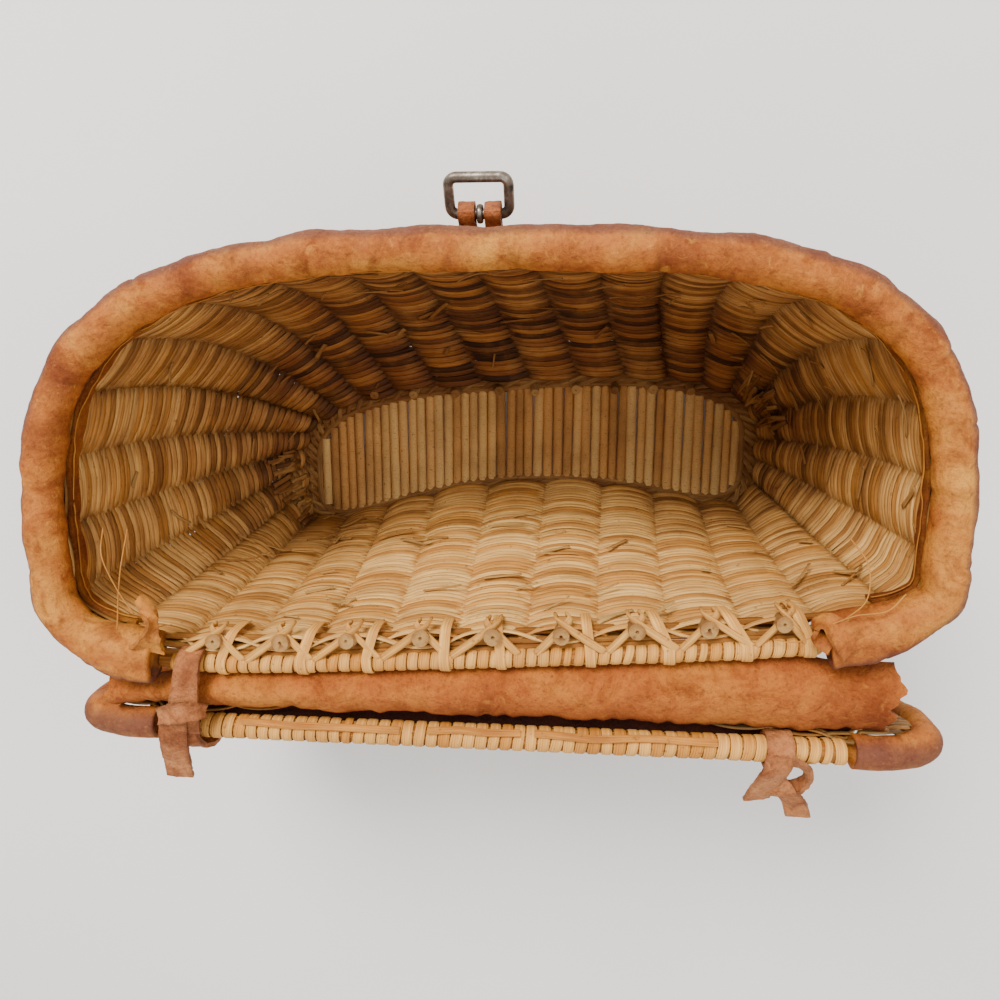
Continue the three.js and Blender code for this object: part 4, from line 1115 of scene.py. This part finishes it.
def bind_lid():
    """The lid's leather edging."""
    across, down = lid_outline(70)
    edge = np.concatenate([
        np.stack([across, down], 1), np.stack([-across, down], 1)[::-1][1:],
    ])
    line = lid_at(edge[:, 0], edge[:, 1], 0)
    hook = np.array([[150.0, 0, 8.0], [164, 0.5, 8.2], [176, 3.0, 7.0], [183, 8, 3.6]])
    start = lid_at(hook[:, 0], hook[:, 1], hook[:, 2])
    end = lid_at(-hook[::-1, 0], hook[::-1, 1], hook[::-1, 2])
    line = np.vstack([start, line[14:-14], end])
    line = spline(line, 460)
    around = 22
    turn = np.linspace(0, 2 * math.pi, around, endpoint=False)
    tangent = unit(np.gradient(line, axis=0))
    middle = lid_at(0, LID_LENGTH / 2, 0)
    outward = line - middle
    outward = unit(outward - tangent * (outward * tangent).sum(-1, keepdims=True))
    spots = line[:, None] + outward[:, None] * np.cos(turn)[None, :, None] * LID_RIM_RADIUS
    swell = rough(spots, 24.0, 1.0) * 0.45 + rough(spots, 9.0, 6.0) * 0.22
    hooked = smoothstep(LID_ROD_HEIGHT - 16, LID_ROD_HEIGHT - 3, line[:, 2])[:, None]
    radius = LID_RIM_RADIUS + swell - 0.1 + 1.1 * hooked
    low = spots[..., 2] < 8
    radius = np.where(low, np.minimum(radius, LID_RIM_RADIUS), radius)
    tone = np.zeros((len(line), around, 3))
    tone[..., 1] = np.clip(np.cos(turn), 0, 1)[None, :]
    # Red tone: painted shade where the edging dents in.
    tone[..., 0] = np.clip(-swell * 0.5, 0, 0.4)
    piece = tube(line, outward, radius, tone, around, "lid_edging", MATERIALS["roll"], ends=0.75)
    return place(piece, "creel", "roll_leather", "lid_rim_leather")


# ---- small hard pieces, modelled with the mesh tools


def select_verts(piece, test):
    """In edit mode, selects the vertices for which test(x, y, z) is true."""
    bpy.ops.object.mode_set(mode="OBJECT")
    for polygon in piece.data.polygons:
        polygon.select = False
    for edge in piece.data.edges:
        edge.select = False
    for vertex in piece.data.vertices:
        vertex.select = bool(test(*vertex.co))
    bpy.ops.object.mode_set(mode="EDIT")


def apply_place(piece):
    deselect()
    piece.select_set(True)
    bpy.context.view_layer.objects.active = piece
    bpy.ops.object.transform_apply(location=True, rotation=True, scale=True)


def join(pieces, name):
    deselect()
    for piece in pieces:
        piece.select_set(True)
    bpy.context.view_layer.objects.active = pieces[0]
    if len(pieces) > 1:
        bpy.ops.object.join()
    pieces[0].name = name
    pieces[0].data.name = name
    return pieces[0]


def give_tone(piece, tones):
    """Writes one tone to all points of a piece, or a list of one per point."""
    mesh = piece.data
    colour = mesh.attributes.get("tone") or mesh.attributes.new("tone", "FLOAT_COLOR", "POINT")
    tones = np.broadcast_to(np.asarray(tones, float), (len(mesh.vertices), 3))
    colour.data.foreach_set("color", np.c_[tones, np.ones(len(tones))].ravel())


def cut_stick(radius, length, top_inset=0.25, sides=14):
    """A round stick with softened ends, lying up +Z from its own origin, in mm."""
    deselect()
    bpy.ops.mesh.primitive_cylinder_add(
        vertices=sides, radius=radius * MM, depth=length * MM, end_fill_type="NGON",
        location=(0, 0, length * MM / 2),
    )
    stick = bpy.context.object
    bpy.ops.object.transform_apply(location=True, rotation=False, scale=False)
    bpy.ops.object.mode_set(mode="EDIT")
    select_verts(stick, lambda x, y, z: z > length * MM * 0.5)
    bpy.ops.mesh.select_mode(type="FACE")
    bpy.ops.mesh.inset(thickness=radius * MM * 0.14, depth=radius * MM * 0.06)
    bpy.ops.mesh.inset(thickness=radius * MM * 0.62, depth=0.0)
    bpy.ops.mesh.inset(thickness=radius * MM * 0.08, depth=-radius * MM * top_inset)
    bpy.ops.mesh.select_mode(type="VERT")
    bpy.ops.object.mode_set(mode="OBJECT")
    return stick


def stand_stake_ends():
    """The cut stake ends that stand up in front of the back rod."""
    rng = np.random.default_rng(19)
    model = cut_stick(3.75, 9.5, 0.35)
    ends = []
    for number in range(-4, 5):
        angle = MOUTH_WALK.angle_at(np.array(number / STAKES))
        level = MOUTH.at(angle) - MOUTH.outward(angle) * 0.8
        copy = bpy.data.objects.new("stake_end", model.data.copy())
        bpy.context.scene.collection.objects.link(copy)
        size = rng.uniform(0.88, 1.04)
        copy.matrix_world = (
            Matrix.Translation(Vector((level[0], level[1], 180.1 - 9.5)) * MM)
            @ Matrix.Rotation(rng.uniform(0.05, 0.2), 4, "X")
            @ Matrix.Rotation(rng.normal(0, 0.08), 4, "Y")
            @ Matrix.Rotation(rng.uniform(0, 6), 4, "Z")
            @ Matrix.Diagonal((size, size * rng.uniform(0.9, 1.0), 1.0, 1.0))
        )
        apply_place(copy)
        middle = level * MM
        far = [math.hypot(v.co.x - middle[0], v.co.y - middle[1]) / MM for v in copy.data.vertices]
        age = 0.4 + 0.25 * rng.random()
        tones = [(0.6 if f < 3.0 else 0.2, age + (0.5 if f < 0.9 else 0.0), 0) for f in far]
        give_tone(copy, tones)
        ends.append(copy)
    bpy.data.objects.remove(model)
    piece = join(ends, "stake_ends")
    piece.data.materials.append(MATERIALS["stick"])
    shade(piece, 40)
    nodes = [f"back_stake_{n}" for n in range(1, 10)]
    return place(piece, "creel", "cane_sticks", *nodes)


def lay_base():
    """The base panel: round sticks laid front to back, with cut nubs at their ends."""
    rng = np.random.default_rng(29)
    sticks = []
    x = -137.2
    while x < 116.5:
        radius = rng.uniform(2.45, 3.0)
        x += radius
        share = (x - PANEL.middle_x) / PANEL.half
        if abs(share) > 0.996:
            x += radius
            continue
        reach = (1 - abs(share) ** 2.9) ** (1 / 2.9)
        front = PANEL.widest_y - PANEL.front * reach + PANEL.shear * x
        back_reach = (1 - abs(share) ** 5) ** (1 / 5)
        back = PANEL.widest_y + (PANEL.back - PANEL.dip * (1 - share ** 2)) * back_reach + PANEL.shear * x
        length = back - front
        stick = cut_stick(radius, length, 0.2, 12)
        lean = rng.normal(0, 0.006)
        stick.matrix_world = (
            Matrix.Translation(Vector((x, back, radius + 0.05)) * MM)
            @ Matrix.Rotation(lean, 4, "Z") @ Matrix.Rotation(math.pi / 2, 4, "X")
        )
        apply_place(stick)
        give_tone(stick, (rng.random(), 0.26 * rng.random(), 0))
        sticks.append(stick)
        x += radius + rng.choice([0.02, 0.1, 0.3], p=[0.6, 0.3, 0.1])
    piece = join(sticks, "base_sticks")
    piece.data.materials.append(MATERIALS["stick"])
    shade(piece, 40)
    place(piece, "creel", "cane_sticks", "base_slats")
    nubs = []
    for x in (80.7, 56.3, 32.0, 6.8, -15.8, -39.4, -62.9, -83.2, -106.3):
        nub = cut_stick(rng.uniform(2.3, 2.9), 7.5, 0.3, 12)
        nub.matrix_world = (
            Matrix.Translation(Vector((x, -25.5 + 0.02 * x, 4.6)) * MM)
            @ Matrix.Rotation(rng.uniform(-0.5, -0.2), 4, "X") @ Matrix.Rotation(rng.normal(0, 0.1), 4, "Y")
        )
        apply_place(nub)
        give_tone(nub, (rng.random(), 0.6, 0))
        nubs.append(nub)
    nubs = join(nubs, "front_nubs")
    nubs.data.materials.append(MATERIALS["stick"])
    shade(nubs, 40)
    place(nubs, "creel", "cane_sticks")


def shape_buckle_frame():
    """Extrudes and spins a wire section round a rectangle, then sets it at its tilt."""
    half, reach, corner, wire = 11.35, 14.5, 3.2, 2.0
    deselect()
    bpy.ops.mesh.primitive_circle_add(
        vertices=14, radius=wire * MM, fill_type="NOTHING",
        location=(0, 0, 0), rotation=(0, math.pi / 2, 0),
    )
    ring = bpy.context.object
    bpy.ops.object.transform_apply(location=True, rotation=True, scale=True)
    bpy.ops.object.mode_set(mode="EDIT")
    bpy.ops.mesh.select_all(action="SELECT")
    bpy.ops.transform.translate(value=(-(half - corner) * MM, 0, 0))

    def run(x, y):
        bpy.ops.mesh.extrude_region_move(TRANSFORM_OT_translate={"value": (x * MM, y * MM, 0)})

    def bend(x, y):
        bpy.ops.mesh.spin(
            steps=6, angle=math.pi / 2, center=(x * MM, y * MM, 0), axis=(0, 0, 1), dupli=False,
        )

    inner_x, inner_y = half - corner, reach - 2 * corner
    run(2 * inner_x, 0)
    bend(inner_x, -corner)
    run(0, -inner_y)
    bend(inner_x, -reach + corner)
    run(-2 * inner_x, 0)
    bend(-inner_x, -reach + corner)
    run(0, inner_y)
    bend(-inner_x, -corner)
    bpy.ops.mesh.select_all(action="SELECT")
    bpy.ops.mesh.remove_doubles(threshold=0.00004)
    bpy.ops.mesh.normals_make_consistent(inside=False)
    bpy.ops.object.mode_set(mode="OBJECT")
    ring.name = ring.data.name = "buckle_wire"
    ring.matrix_world = (
        Matrix.Translation(Vector(HEEL_BAR) * MM)
        @ Matrix.Rotation(math.radians(-BUCKLE_TILT), 4, "X")
    )
    apply_place(ring)
    ring.data.materials.append(MATERIALS["metal"])
    give_tone(ring, (0, 0, 0))
    shade(ring, 60)
    return place(ring, "buckle_frame", "buckle_metal", "buckle_frame")


def shape_buckle_prong():
    """A small ring on the heel bar, with a pin that hangs from it."""
    deselect()
    bpy.ops.mesh.primitive_torus_add(
        major_segments=28, minor_segments=10, major_radius=3.0 * MM, minor_radius=0.66 * MM,
        location=(0, 0, 0), rotation=(0, math.pi / 2, 0),
    )
    ring = bpy.context.object
    bpy.ops.object.transform_apply(location=True, rotation=True, scale=True)
    ring.scale = (1.75, 1, 1)
    bpy.ops.object.transform_apply(location=False, rotation=False, scale=True)
    bpy.ops.mesh.primitive_cone_add(
        vertices=14, radius1=0.62 * MM, radius2=1.15 * MM, depth=12.2 * MM,
        location=(0, 0, -9.2 * MM),
    )
    pin = bpy.context.object
    bpy.ops.object.transform_apply(location=True, rotation=True, scale=True)
    bpy.ops.object.mode_set(mode="EDIT")
    select_verts(pin, lambda x, y, z: z < -14 * MM)
    bpy.ops.mesh.bevel(offset=0.35 * MM, segments=2, affect="EDGES")
    bpy.ops.object.mode_set(mode="OBJECT")
    prong = join([ring, pin], "buckle_pin")
    prong.matrix_world = (
        Matrix.Translation(Vector(HEEL_BAR) * MM) @ Matrix.Rotation(math.radians(-12), 4, "X")
    )
    apply_place(prong)
    prong.data.materials.append(MATERIALS["metal"])
    give_tone(prong, (0, 0, 0))
    shade(prong, 60)
    return place(prong, "buckle_prong", "buckle_metal", "buckle_prong")


def chape_courses():
    """The leather strap folded round the heel bar, in two halves beside the prong's slot."""
    courses = []
    wall_y = -92.5
    for side in (-1, 1):
        centre_x = HEEL_BAR[0] + side * 5.05
        points = []
        for t in np.linspace(-2.5, 1.9, 12):
            points.append([centre_x, HEEL_BAR[1] - 3.5 * math.cos(t), HEEL_BAR[2] + 3.5 * math.sin(t)])
        points.append([centre_x, wall_y - 2.4, HEEL_BAR[2] - 8])
        points.append([centre_x, wall_y - 1.3, HEEL_BAR[2] - 16])
        lower = [[centre_x, wall_y - 4.6, HEEL_BAR[2] - 16], [centre_x, wall_y - 5.2, HEEL_BAR[2] - 9]]
        courses.append(np.array(lower + points))
    return courses


# ---- settings


class CreelSizes(bpy.types.PropertyGroup):
    strand_width: bpy.props.FloatProperty(
        name="Strand width", description="Width of a woven strand over a stake",
        default=0.0039, min=0.001, max=0.008, unit="LENGTH", precision=4,
    )
    strand_thickness: bpy.props.FloatProperty(
        name="Strand thickness", description="Thickness of a woven strand",
        default=0.00115, min=0.0003, max=0.003, unit="LENGTH", precision=4,
    )
    weave_rows: bpy.props.IntProperty(
        name="Weave rows", description="Rows of strands from foot to mouth",
        default=98, min=20, max=160,
    )
    wrap_pitch: bpy.props.FloatProperty(
        name="Wrap pitch", description="Distance between turns of cane on the body's back rod",
        default=0.0049, min=0.002, max=0.01, unit="LENGTH", precision=4,
    )


class CreelColours(bpy.types.PropertyGroup):
    straw: bpy.props.FloatVectorProperty(
        name="Straw", description="Palest colour of the woven cane", subtype="COLOR",
        size=4, default=srgb(254, 204, 118), min=0, max=1,
    )
    cane: bpy.props.FloatVectorProperty(
        name="Cane", description="Middle colour of the woven cane", subtype="COLOR",
        size=4, default=srgb(230, 162, 76), min=0, max=1,
    )
    old_cane: bpy.props.FloatVectorProperty(
        name="Old cane", description="Brown colour of the aged cane", subtype="COLOR",
        size=4, default=srgb(142, 86, 40), min=0, max=1,
    )
    roll: bpy.props.FloatVectorProperty(
        name="Leather roll", description="Main tan of the leather roll", subtype="COLOR",
        size=4, default=srgb(174, 96, 32), min=0, max=1,
    )
    suede: bpy.props.FloatVectorProperty(
        name="Suede", description="Main colour of the hinge flap", subtype="COLOR",
        size=4, default=srgb(180, 96, 34), min=0, max=1,
    )
    floor: bpy.props.FloatVectorProperty(
        name="Floor", description="Colour of the plain floor", subtype="COLOR",
        size=4, default=srgb(246, 240, 232), min=0, max=1,
    )


class Builder(bpy.types.Operator):
    """Common base of the creel's operators."""

    bl_options = {"REGISTER", "UNDO"}

    def execute(self, context):
        self.build(context.scene.creel_sizes, context.scene.creel_colours)
        return {"FINISHED"}


class CREEL_OT_stage(Builder):
    """Set the camera, the pale floor and the soft lights"""

    bl_idname = "creel.stage"
    bl_label = "Set the Stage"

    def build(self, sizes, colours):
        camera = bpy.data.cameras.new("camera")
        camera.sensor_width = 36
        camera.lens = 28.8
        camera.clip_start, camera.clip_end = 0.01, 20
        holder = bpy.data.objects.new("camera", camera)
        bpy.context.scene.collection.objects.link(holder)
        right = Vector((-0.99636, 0.0, -0.0853))
        up = Vector((0.01773, -0.97817, -0.2071))
        back = Vector((-0.08343, -0.20786, 0.9746))
        turn = Matrix((right, up, back)).transposed().to_4x4()
        holder.matrix_world = Matrix.Translation((-0.03587, -0.05908, 0.48572)) @ turn
        bpy.context.scene.camera = holder

        deselect()
        bpy.ops.mesh.primitive_plane_add(size=6, location=(0, 0, 0))
        floor = bpy.context.object
        floor.name = floor.data.name = "floor"
        s = Shader("floor_paper", 0.85)
        cloud = s.noise(s.coordinates("Object"), 3.0, 3, 0.5)
        tone = tuple(colours.floor)
        soft = tuple(c * 0.95 for c in tone[:3]) + (1,)
        floor.data.materials.append(s.done(s.ramp(cloud, [(0.35, soft), (0.65, tone)])))

        world = bpy.data.worlds.new("studio")
        bpy.context.scene.world = world
        world.use_nodes = True
        sky = world.node_tree.nodes["Background"]
        sky.inputs["Color"].default_value = (0.93, 0.96, 1.0, 1)
        sky.inputs["Strength"].default_value = 0.92
        for name, spot, aim, size, power in (
            ("key", (0.55, -1.25, 1.5), (0, 0, 0.05), 0.8, 54),
            ("fill", (-1.2, -0.2, 1.5), (0, 0, 0.1), 1.4, 13),
            ("back", (0.3, 1.3, 1.2), (0, 0, 0.1), 1.4, 8),
        ):
            light = bpy.data.lights.new(name, "AREA")
            light.size = size
            light.energy = power
            lamp = bpy.data.objects.new(name, light)
            lamp.location = spot
            way = Vector(aim) - Vector(spot)
            lamp.rotation_euler = way.to_track_quat("-Z", "Y").to_euler()
            bpy.context.scene.collection.objects.link(lamp)


class CREEL_OT_finishes(Builder):
    """Mix the cane, leather and metal finishes"""

    bl_idname = "creel.finishes"
    bl_label = "Mix the Finishes"

    def build(self, sizes, colours):
        straw, cane, old = tuple(colours.straw), tuple(colours.cane), tuple(colours.old_cane)
        dark = srgb(52, 28, 12)
        MATERIALS["cane"] = make_cane("split_cane", straw, cane, old, dark)
        MATERIALS["pale_cane"] = make_cane(
            "peeled_cane", srgb(242, 182, 92), srgb(212, 142, 54), srgb(150, 86, 26), srgb(70, 34, 10), 0.6,
        )
        MATERIALS["stick"] = make_cane("round_sticks", srgb(255, 214, 134), srgb(244, 184, 104), old, dark, 0.5)
        roll = tuple(colours.roll)
        MATERIALS["roll"] = make_leather(
            "roll_leather", srgb(208, 140, 52), roll, srgb(122, 54, 14), srgb(62, 28, 10), srgb(104, 58, 42),
        )
        suede = tuple(colours.suede)
        MATERIALS["suede"] = make_leather(
            "flap_suede", srgb(200, 124, 44), suede, srgb(128, 56, 14), srgb(66, 28, 10), suede, 1.9, 0.82,
        )
        MATERIALS["strap"] = make_leather(
            "strap_leather", srgb(206, 138, 84), srgb(176, 106, 58), srgb(126, 64, 28),
            srgb(58, 28, 14), srgb(134, 70, 32), 1.6, 0.66,
        )
        MATERIALS["chape"] = make_leather(
            "chape_leather", srgb(176, 98, 50), srgb(142, 72, 34), srgb(98, 46, 20),
            srgb(48, 22, 12), srgb(108, 54, 26), 1.3, 0.6,
        )
        MATERIALS["metal"] = make_metal("aged_wire", srgb(176, 166, 150), srgb(120, 106, 92), srgb(66, 54, 46))


class CREEL_OT_walls(Builder):
    """Weave the wall round its stakes"""

    bl_idname = "creel.walls"
    bl_label = "Weave the Walls"

    def build(self, sizes, colours):
        weave_wall("weave_back", (-5.5, 5.5), 1, sizes)
        weave_wall("weave_right", (5.5, 12.5), 2, sizes, [(11, 44, 1)])
        weave_wall("weave_front", (12.5, 21.5), 3, sizes, [(15, 86, 2), (16, 90, 1), (17, 88, 2)])
        weave_wall("weave_left", (21.5, 28.5), 4, sizes, [(22, 30, 1)])
        stand_stakes()
        twine_border()
        loose_straws()
        corner_fans()
        top_pairing()


class CREEL_OT_base(Builder):
    """Lay the round sticks of the base"""

    bl_idname = "creel.base"
    bl_label = "Lay the Base"

    def build(self, sizes, colours):
        lay_base()


class CREEL_OT_rods(Builder):
    """Wrap and lash both rods"""

    bl_idname = "creel.rods"
    bl_label = "Wrap the Rods"

    def build(self, sizes, colours):
        line = back_rod_line(np.linspace(-RIM_END_X, RIM_END_X, 90))
        wrap_rod(
            "back_rod_wrapping", line, BACK_ROD_RADIUS, sizes.wrap_pitch / MM, 2, "wrapped_cane", ("back_rim_rod",),
        )
        back_lashings()
        stand_stake_ends()
        ends = np.array([
            [LID_SHIFT_X - LID_ROD_HALF, LID_ROD_Y, LID_ROD_HEIGHT],
            [LID_SHIFT_X + LID_ROD_HALF, LID_ROD_Y, LID_ROD_HEIGHT],
        ])
        line = mix(ends[0], ends[1], np.linspace(0, 1, 60)[:, None])
        wrap_rod("lid_rod_wrapping", line, LID_ROD_RADIUS, 5.3, 6, "wrapped_cane", ("lid_back_rod",))
        rng = np.random.default_rng(51)
        strands = Strands()
        for first, last in ((104, 34), (22, -18), (-24, -100)):
            x = np.linspace(first, last, 50)
            turn = 2.3 + 0.12 * wobble(rng, 50, 16)
            ring = LID_ROD_RADIUS + 0.75 + 0.5 * np.abs(wobble(rng, 50, 6))
            path = np.stack([x, LID_ROD_Y + ring * np.cos(turn), LID_ROD_HEIGHT + ring * np.sin(turn)], 1)
            side = np.stack([0 * x, -np.sin(turn), np.cos(turn)], 1)
            strands.add_path(path, side, 3.2, 0.7, (0.3, 0.3, 0.1))
        place(strands.finish("lid_rod_strands", MATERIALS["pale_cane"], 40), "creel", "wrapped_cane")


class CREEL_OT_rim(Builder):
    """Bind the mouth with the leather roll"""

    bl_idname = "creel.rim"
    bl_label = "Bind the Mouth"

    def build(self, sizes, colours):
        bind_rim()
        bind_rim_lap()
        hang_threads()


class CREEL_OT_lid(Builder):
    """Weave and bind the open lid"""

    bl_idname = "creel.lid"
    bl_label = "Weave the Lid"

    def build(self, sizes, colours):
        weave_lid()
        bind_lid()


class CREEL_OT_flap(Builder):
    """Lay the leather flap over the hinge gap"""

    bl_idname = "creel.flap"
    bl_label = "Lay the Flap"

    def build(self, sizes, colours):
        hang_flap()


class CREEL_OT_ties(Builder):
    """Tie the leather thongs"""

    bl_idname = "creel.ties"
    bl_label = "Tie the Thongs"

    def build(self, sizes, colours):
        wide = [1.0, 0, 0]
        rod = back_rod_line(np.array(122.5))
        y0 = rod[1] - 5.6
        strap(
            "left_thong", [
                [122.5, y0 - 0.4, 170], [122.5, y0 - 0.6, 176], [122.5, y0 + 1.2, 180.6],
                [122.8, y0 + 6, 183.4], [123.6, y0 + 14, 184.2], [125, y0 + 22, 184.0],
                [126, y0 + 29, 183.4], [126.4, y0 + 35, 182.0],
            ],
            [wide] * 8, [10.5, 10.5, 10.5, 10.8, 11.5, 13, 14, 14], 2.0, MATERIALS["strap"], ("tie_left",),
            80, 9, 0.3, 2.0,
        )
        strap(
            "left_thong_under", [
                [122.5, y0 - 0.4, 171], [122.5, y0 + 2.6, 164.5], [122.5, y0 + 14, 162.5],
                [122.5, 108, 161.6], [122.5, 115, 161.8], [123, 120, 165.0], [124, 121.4, 170.5],
                [125.5, 119.6, 176], [126.2, 115.4, 179.6], [126.4, 110, 181.4],
            ],
            [wide] * 10, [10.5] * 10, 2.0, MATERIALS["strap"], ("tie_left",), 80, 7, 0.0, 7.0,
        )
        strap(
            "left_tail", [
                [128.5, 98, 182.6], [129.6, 104, 184.4], [131, 111, 183.6], [132.6, 119, 180.6],
                [134, 127, 176.8], [135.2, 137, 172.6],
            ],
            [wide] * 6, [9, 12, 12.4, 12, 12, 12], 2.0, MATERIALS["strap"], ("tie_left",), 60, 9, 0.5, 3.0,
        )
        strap(
            "left_knot", [
                [117.5, 100.5, 181], [119.0, 98.5, 186.6], [126, 98.6, 188.2], [133.4, 100.6, 187.0],
                [135.6, 104, 183.0],
            ],
            [[0, 1.0, 0]] * 5, [6, 7.6, 8.4, 7.6, 6], 1.8, MATERIALS["strap"], ("tie_left",), 50, 7, 0.6, 11.0,
        )
        centre = np.array([-125.5, LID_ROD_Y, LID_ROD_HEIGHT])
        ring = []
        for t in np.linspace(0.9, 0.9 - 2 * math.pi, 14):
            ring.append(centre + [0, 6.9 * math.cos(t), 6.9 * math.sin(t)])
        strap(
            "right_thong_loop", ring, [wide] * 14, [11.0] * 14, 2.0, MATERIALS["strap"], ("tie_right",),
            80, 9, 0.0, 4.0,
        )
        strap(
            "right_thong", [
                [-125.2, 112, 177.4], [-124.6, 118.5, 176.6], [-123.4, 124.5, 173.6], [-121.6, 131.5, 169.6],
                [-119.8, 139.5, 165.2],
            ],
            [[1.0, 0.12, 0], [1.0, 0.2, 0], [1.0, 0.35, 0], [1.0, 0.45, 0], [1.0, 0.5, 0]],
            [11, 11.4, 12.2, 12.6, 12.6], 2.0, MATERIALS["strap"], ("tie_right",), 60, 9, 0.5, 8.0,
        )
        strap(
            "right_tail", [
                [-127.0, 129.0, 168.6], [-130.5, 133.5, 167.6], [-134.2, 138.5, 165.0], [-137.4, 144, 162.0],
                [-139.8, 150.5, 159.4],
            ],
            [[1.0, -0.3, 0]] + [[1.0, -0.5, 0]] * 4, [8, 10, 10.6, 10.8, 10.8], 2.0, MATERIALS["strap"],
            ("tie_right",), 60, 9, 0.6, 12.0,
        )
        strap(
            "right_knot", [
                [-128.6, 114.5, 176.2], [-134.4, 117.5, 174.6], [-138.4, 122.5, 171.6], [-139.0, 128.4, 168.4],
                [-135.0, 133.0, 166.2], [-129.0, 134.2, 165.2], [-121.0, 133.6, 166.0],
            ],
            [
                [0.5, -0.7, 0.5], [0.3, -0.7, 0.7], [0.1, -0.5, 0.9], [0, 0, 1.0], [0, 0.4, 0.9], [0, 0.6, 0.8],
                [0, 0.6, 0.8],
            ],
            [7, 7.4, 7.6, 7.6, 7.4, 7, 6], 1.8, MATERIALS["strap"], ("tie_right",), 60, 7, 0.4, 15.0,
        )
        tag = MATERIALS["roll"]
        strap(
            "left_roll_knot", [
                [137.5, 71.5, 186.0], [134.8, 66.0, 188.2], [133.8, 59.5, 187.0], [136.2, 53.0, 185.6],
                [140.2, 49.5, 184.2],
            ],
            [[1.0, 0.2, 0], [0.9, 0.2, 0.4], [0.4, 0.3, 0.8], [0.9, 0.2, -0.3], [1.0, 0.4, 0]],
            [15, 9, 5.5, 8.0, 5.0], 1.8, tag, (), 60, 7, 0.8, 21.0,
        )
        strap(
            "right_roll_knot", [
                [-146.0, 60.0, 188.4], [-141.0, 54.5, 189.0], [-136.0, 50.0, 187.2], [-133.0, 52.5, 184.4],
                [-135.0, 57.5, 184.0], [-139.0, 59.5, 186.6],
            ],
            [[0.6, 0.8, 0.2], [0.7, 0.7, 0.2], [0.5, 0.6, 0.6], [0, 0.4, 1.0], [0.3, 0.9, 0.4], [0.6, 0.7, 0.2]],
            [14, 11, 8, 7, 8, 9], 1.8, tag, (), 60, 7, 0.9, 27.0,
        )


class CREEL_OT_buckle(Builder):
    """Fold the chape and hang the wire buckle in it"""

    bl_idname = "creel.buckle"
    bl_label = "Hang the Buckle"

    def build(self, sizes, colours):
        shape_buckle_frame()
        shape_buckle_prong()
        wide = [1.0, 0, 0]
        for side, path in zip((-1, 1), chape_courses()):
            strap(
                f"chape_fold_{'left' if side > 0 else 'right'}", path, [wide] * len(path), [6.3] * len(path),
                2.2, MATERIALS["chape"], ("buckle_chape",), 70, 5, 0.0, 3.0 + side,
            )
        wall_y = -92.8
        x = HEEL_BAR[0]
        strap(
            "chape_strap", [
                [x, -95.8, 158], [x, wall_y - 2.8, 151], [x, wall_y - 2.2, 143], [x, wall_y - 1.2, 132],
                [x, wall_y - 0.2, 119.5],
            ],
            [wide] * 5, [15.5, 16.4, 16.4, 16.4, 16.2], 2.3, MATERIALS["chape"], ("buckle_chape",), 60, 11, 0.0, 5.0,
        )


class CREEL_PT_panel(bpy.types.Panel):
    """Sizes, colours and steps of the creel"""

    bl_label = "Creel"
    bl_idname = "CREEL_PT_panel"
    bl_space_type = "VIEW_3D"
    bl_region_type = "UI"
    bl_category = "Creel"

    def draw(self, context):
        for group in (context.scene.creel_sizes, context.scene.creel_colours):
            for key in group.__annotations__:
                self.layout.prop(group, key)
        for step in STEPS:
            self.layout.operator(step.bl_idname)


STEPS = (
    CREEL_OT_stage, CREEL_OT_finishes, CREEL_OT_walls, CREEL_OT_base, CREEL_OT_rods,
    CREEL_OT_rim, CREEL_OT_lid, CREEL_OT_flap, CREEL_OT_ties, CREEL_OT_buckle,
)
CLASSES = (CreelSizes, CreelColours, *STEPS, CREEL_PT_panel)


def register():
    for made in CLASSES:
        bpy.utils.register_class(made)
    bpy.types.Scene.creel_sizes = bpy.props.PointerProperty(type=CreelSizes)
    bpy.types.Scene.creel_colours = bpy.props.PointerProperty(type=CreelColours)


def unregister():
    del bpy.types.Scene.creel_colours
    del bpy.types.Scene.creel_sizes
    for made in reversed(CLASSES):
        bpy.utils.unregister_class(made)


def main():
    register()
    for step in STEPS:
        group, name = step.bl_idname.split(".")
        getattr(getattr(bpy.ops, group), name)()


if __name__ == "__main__":
    main()
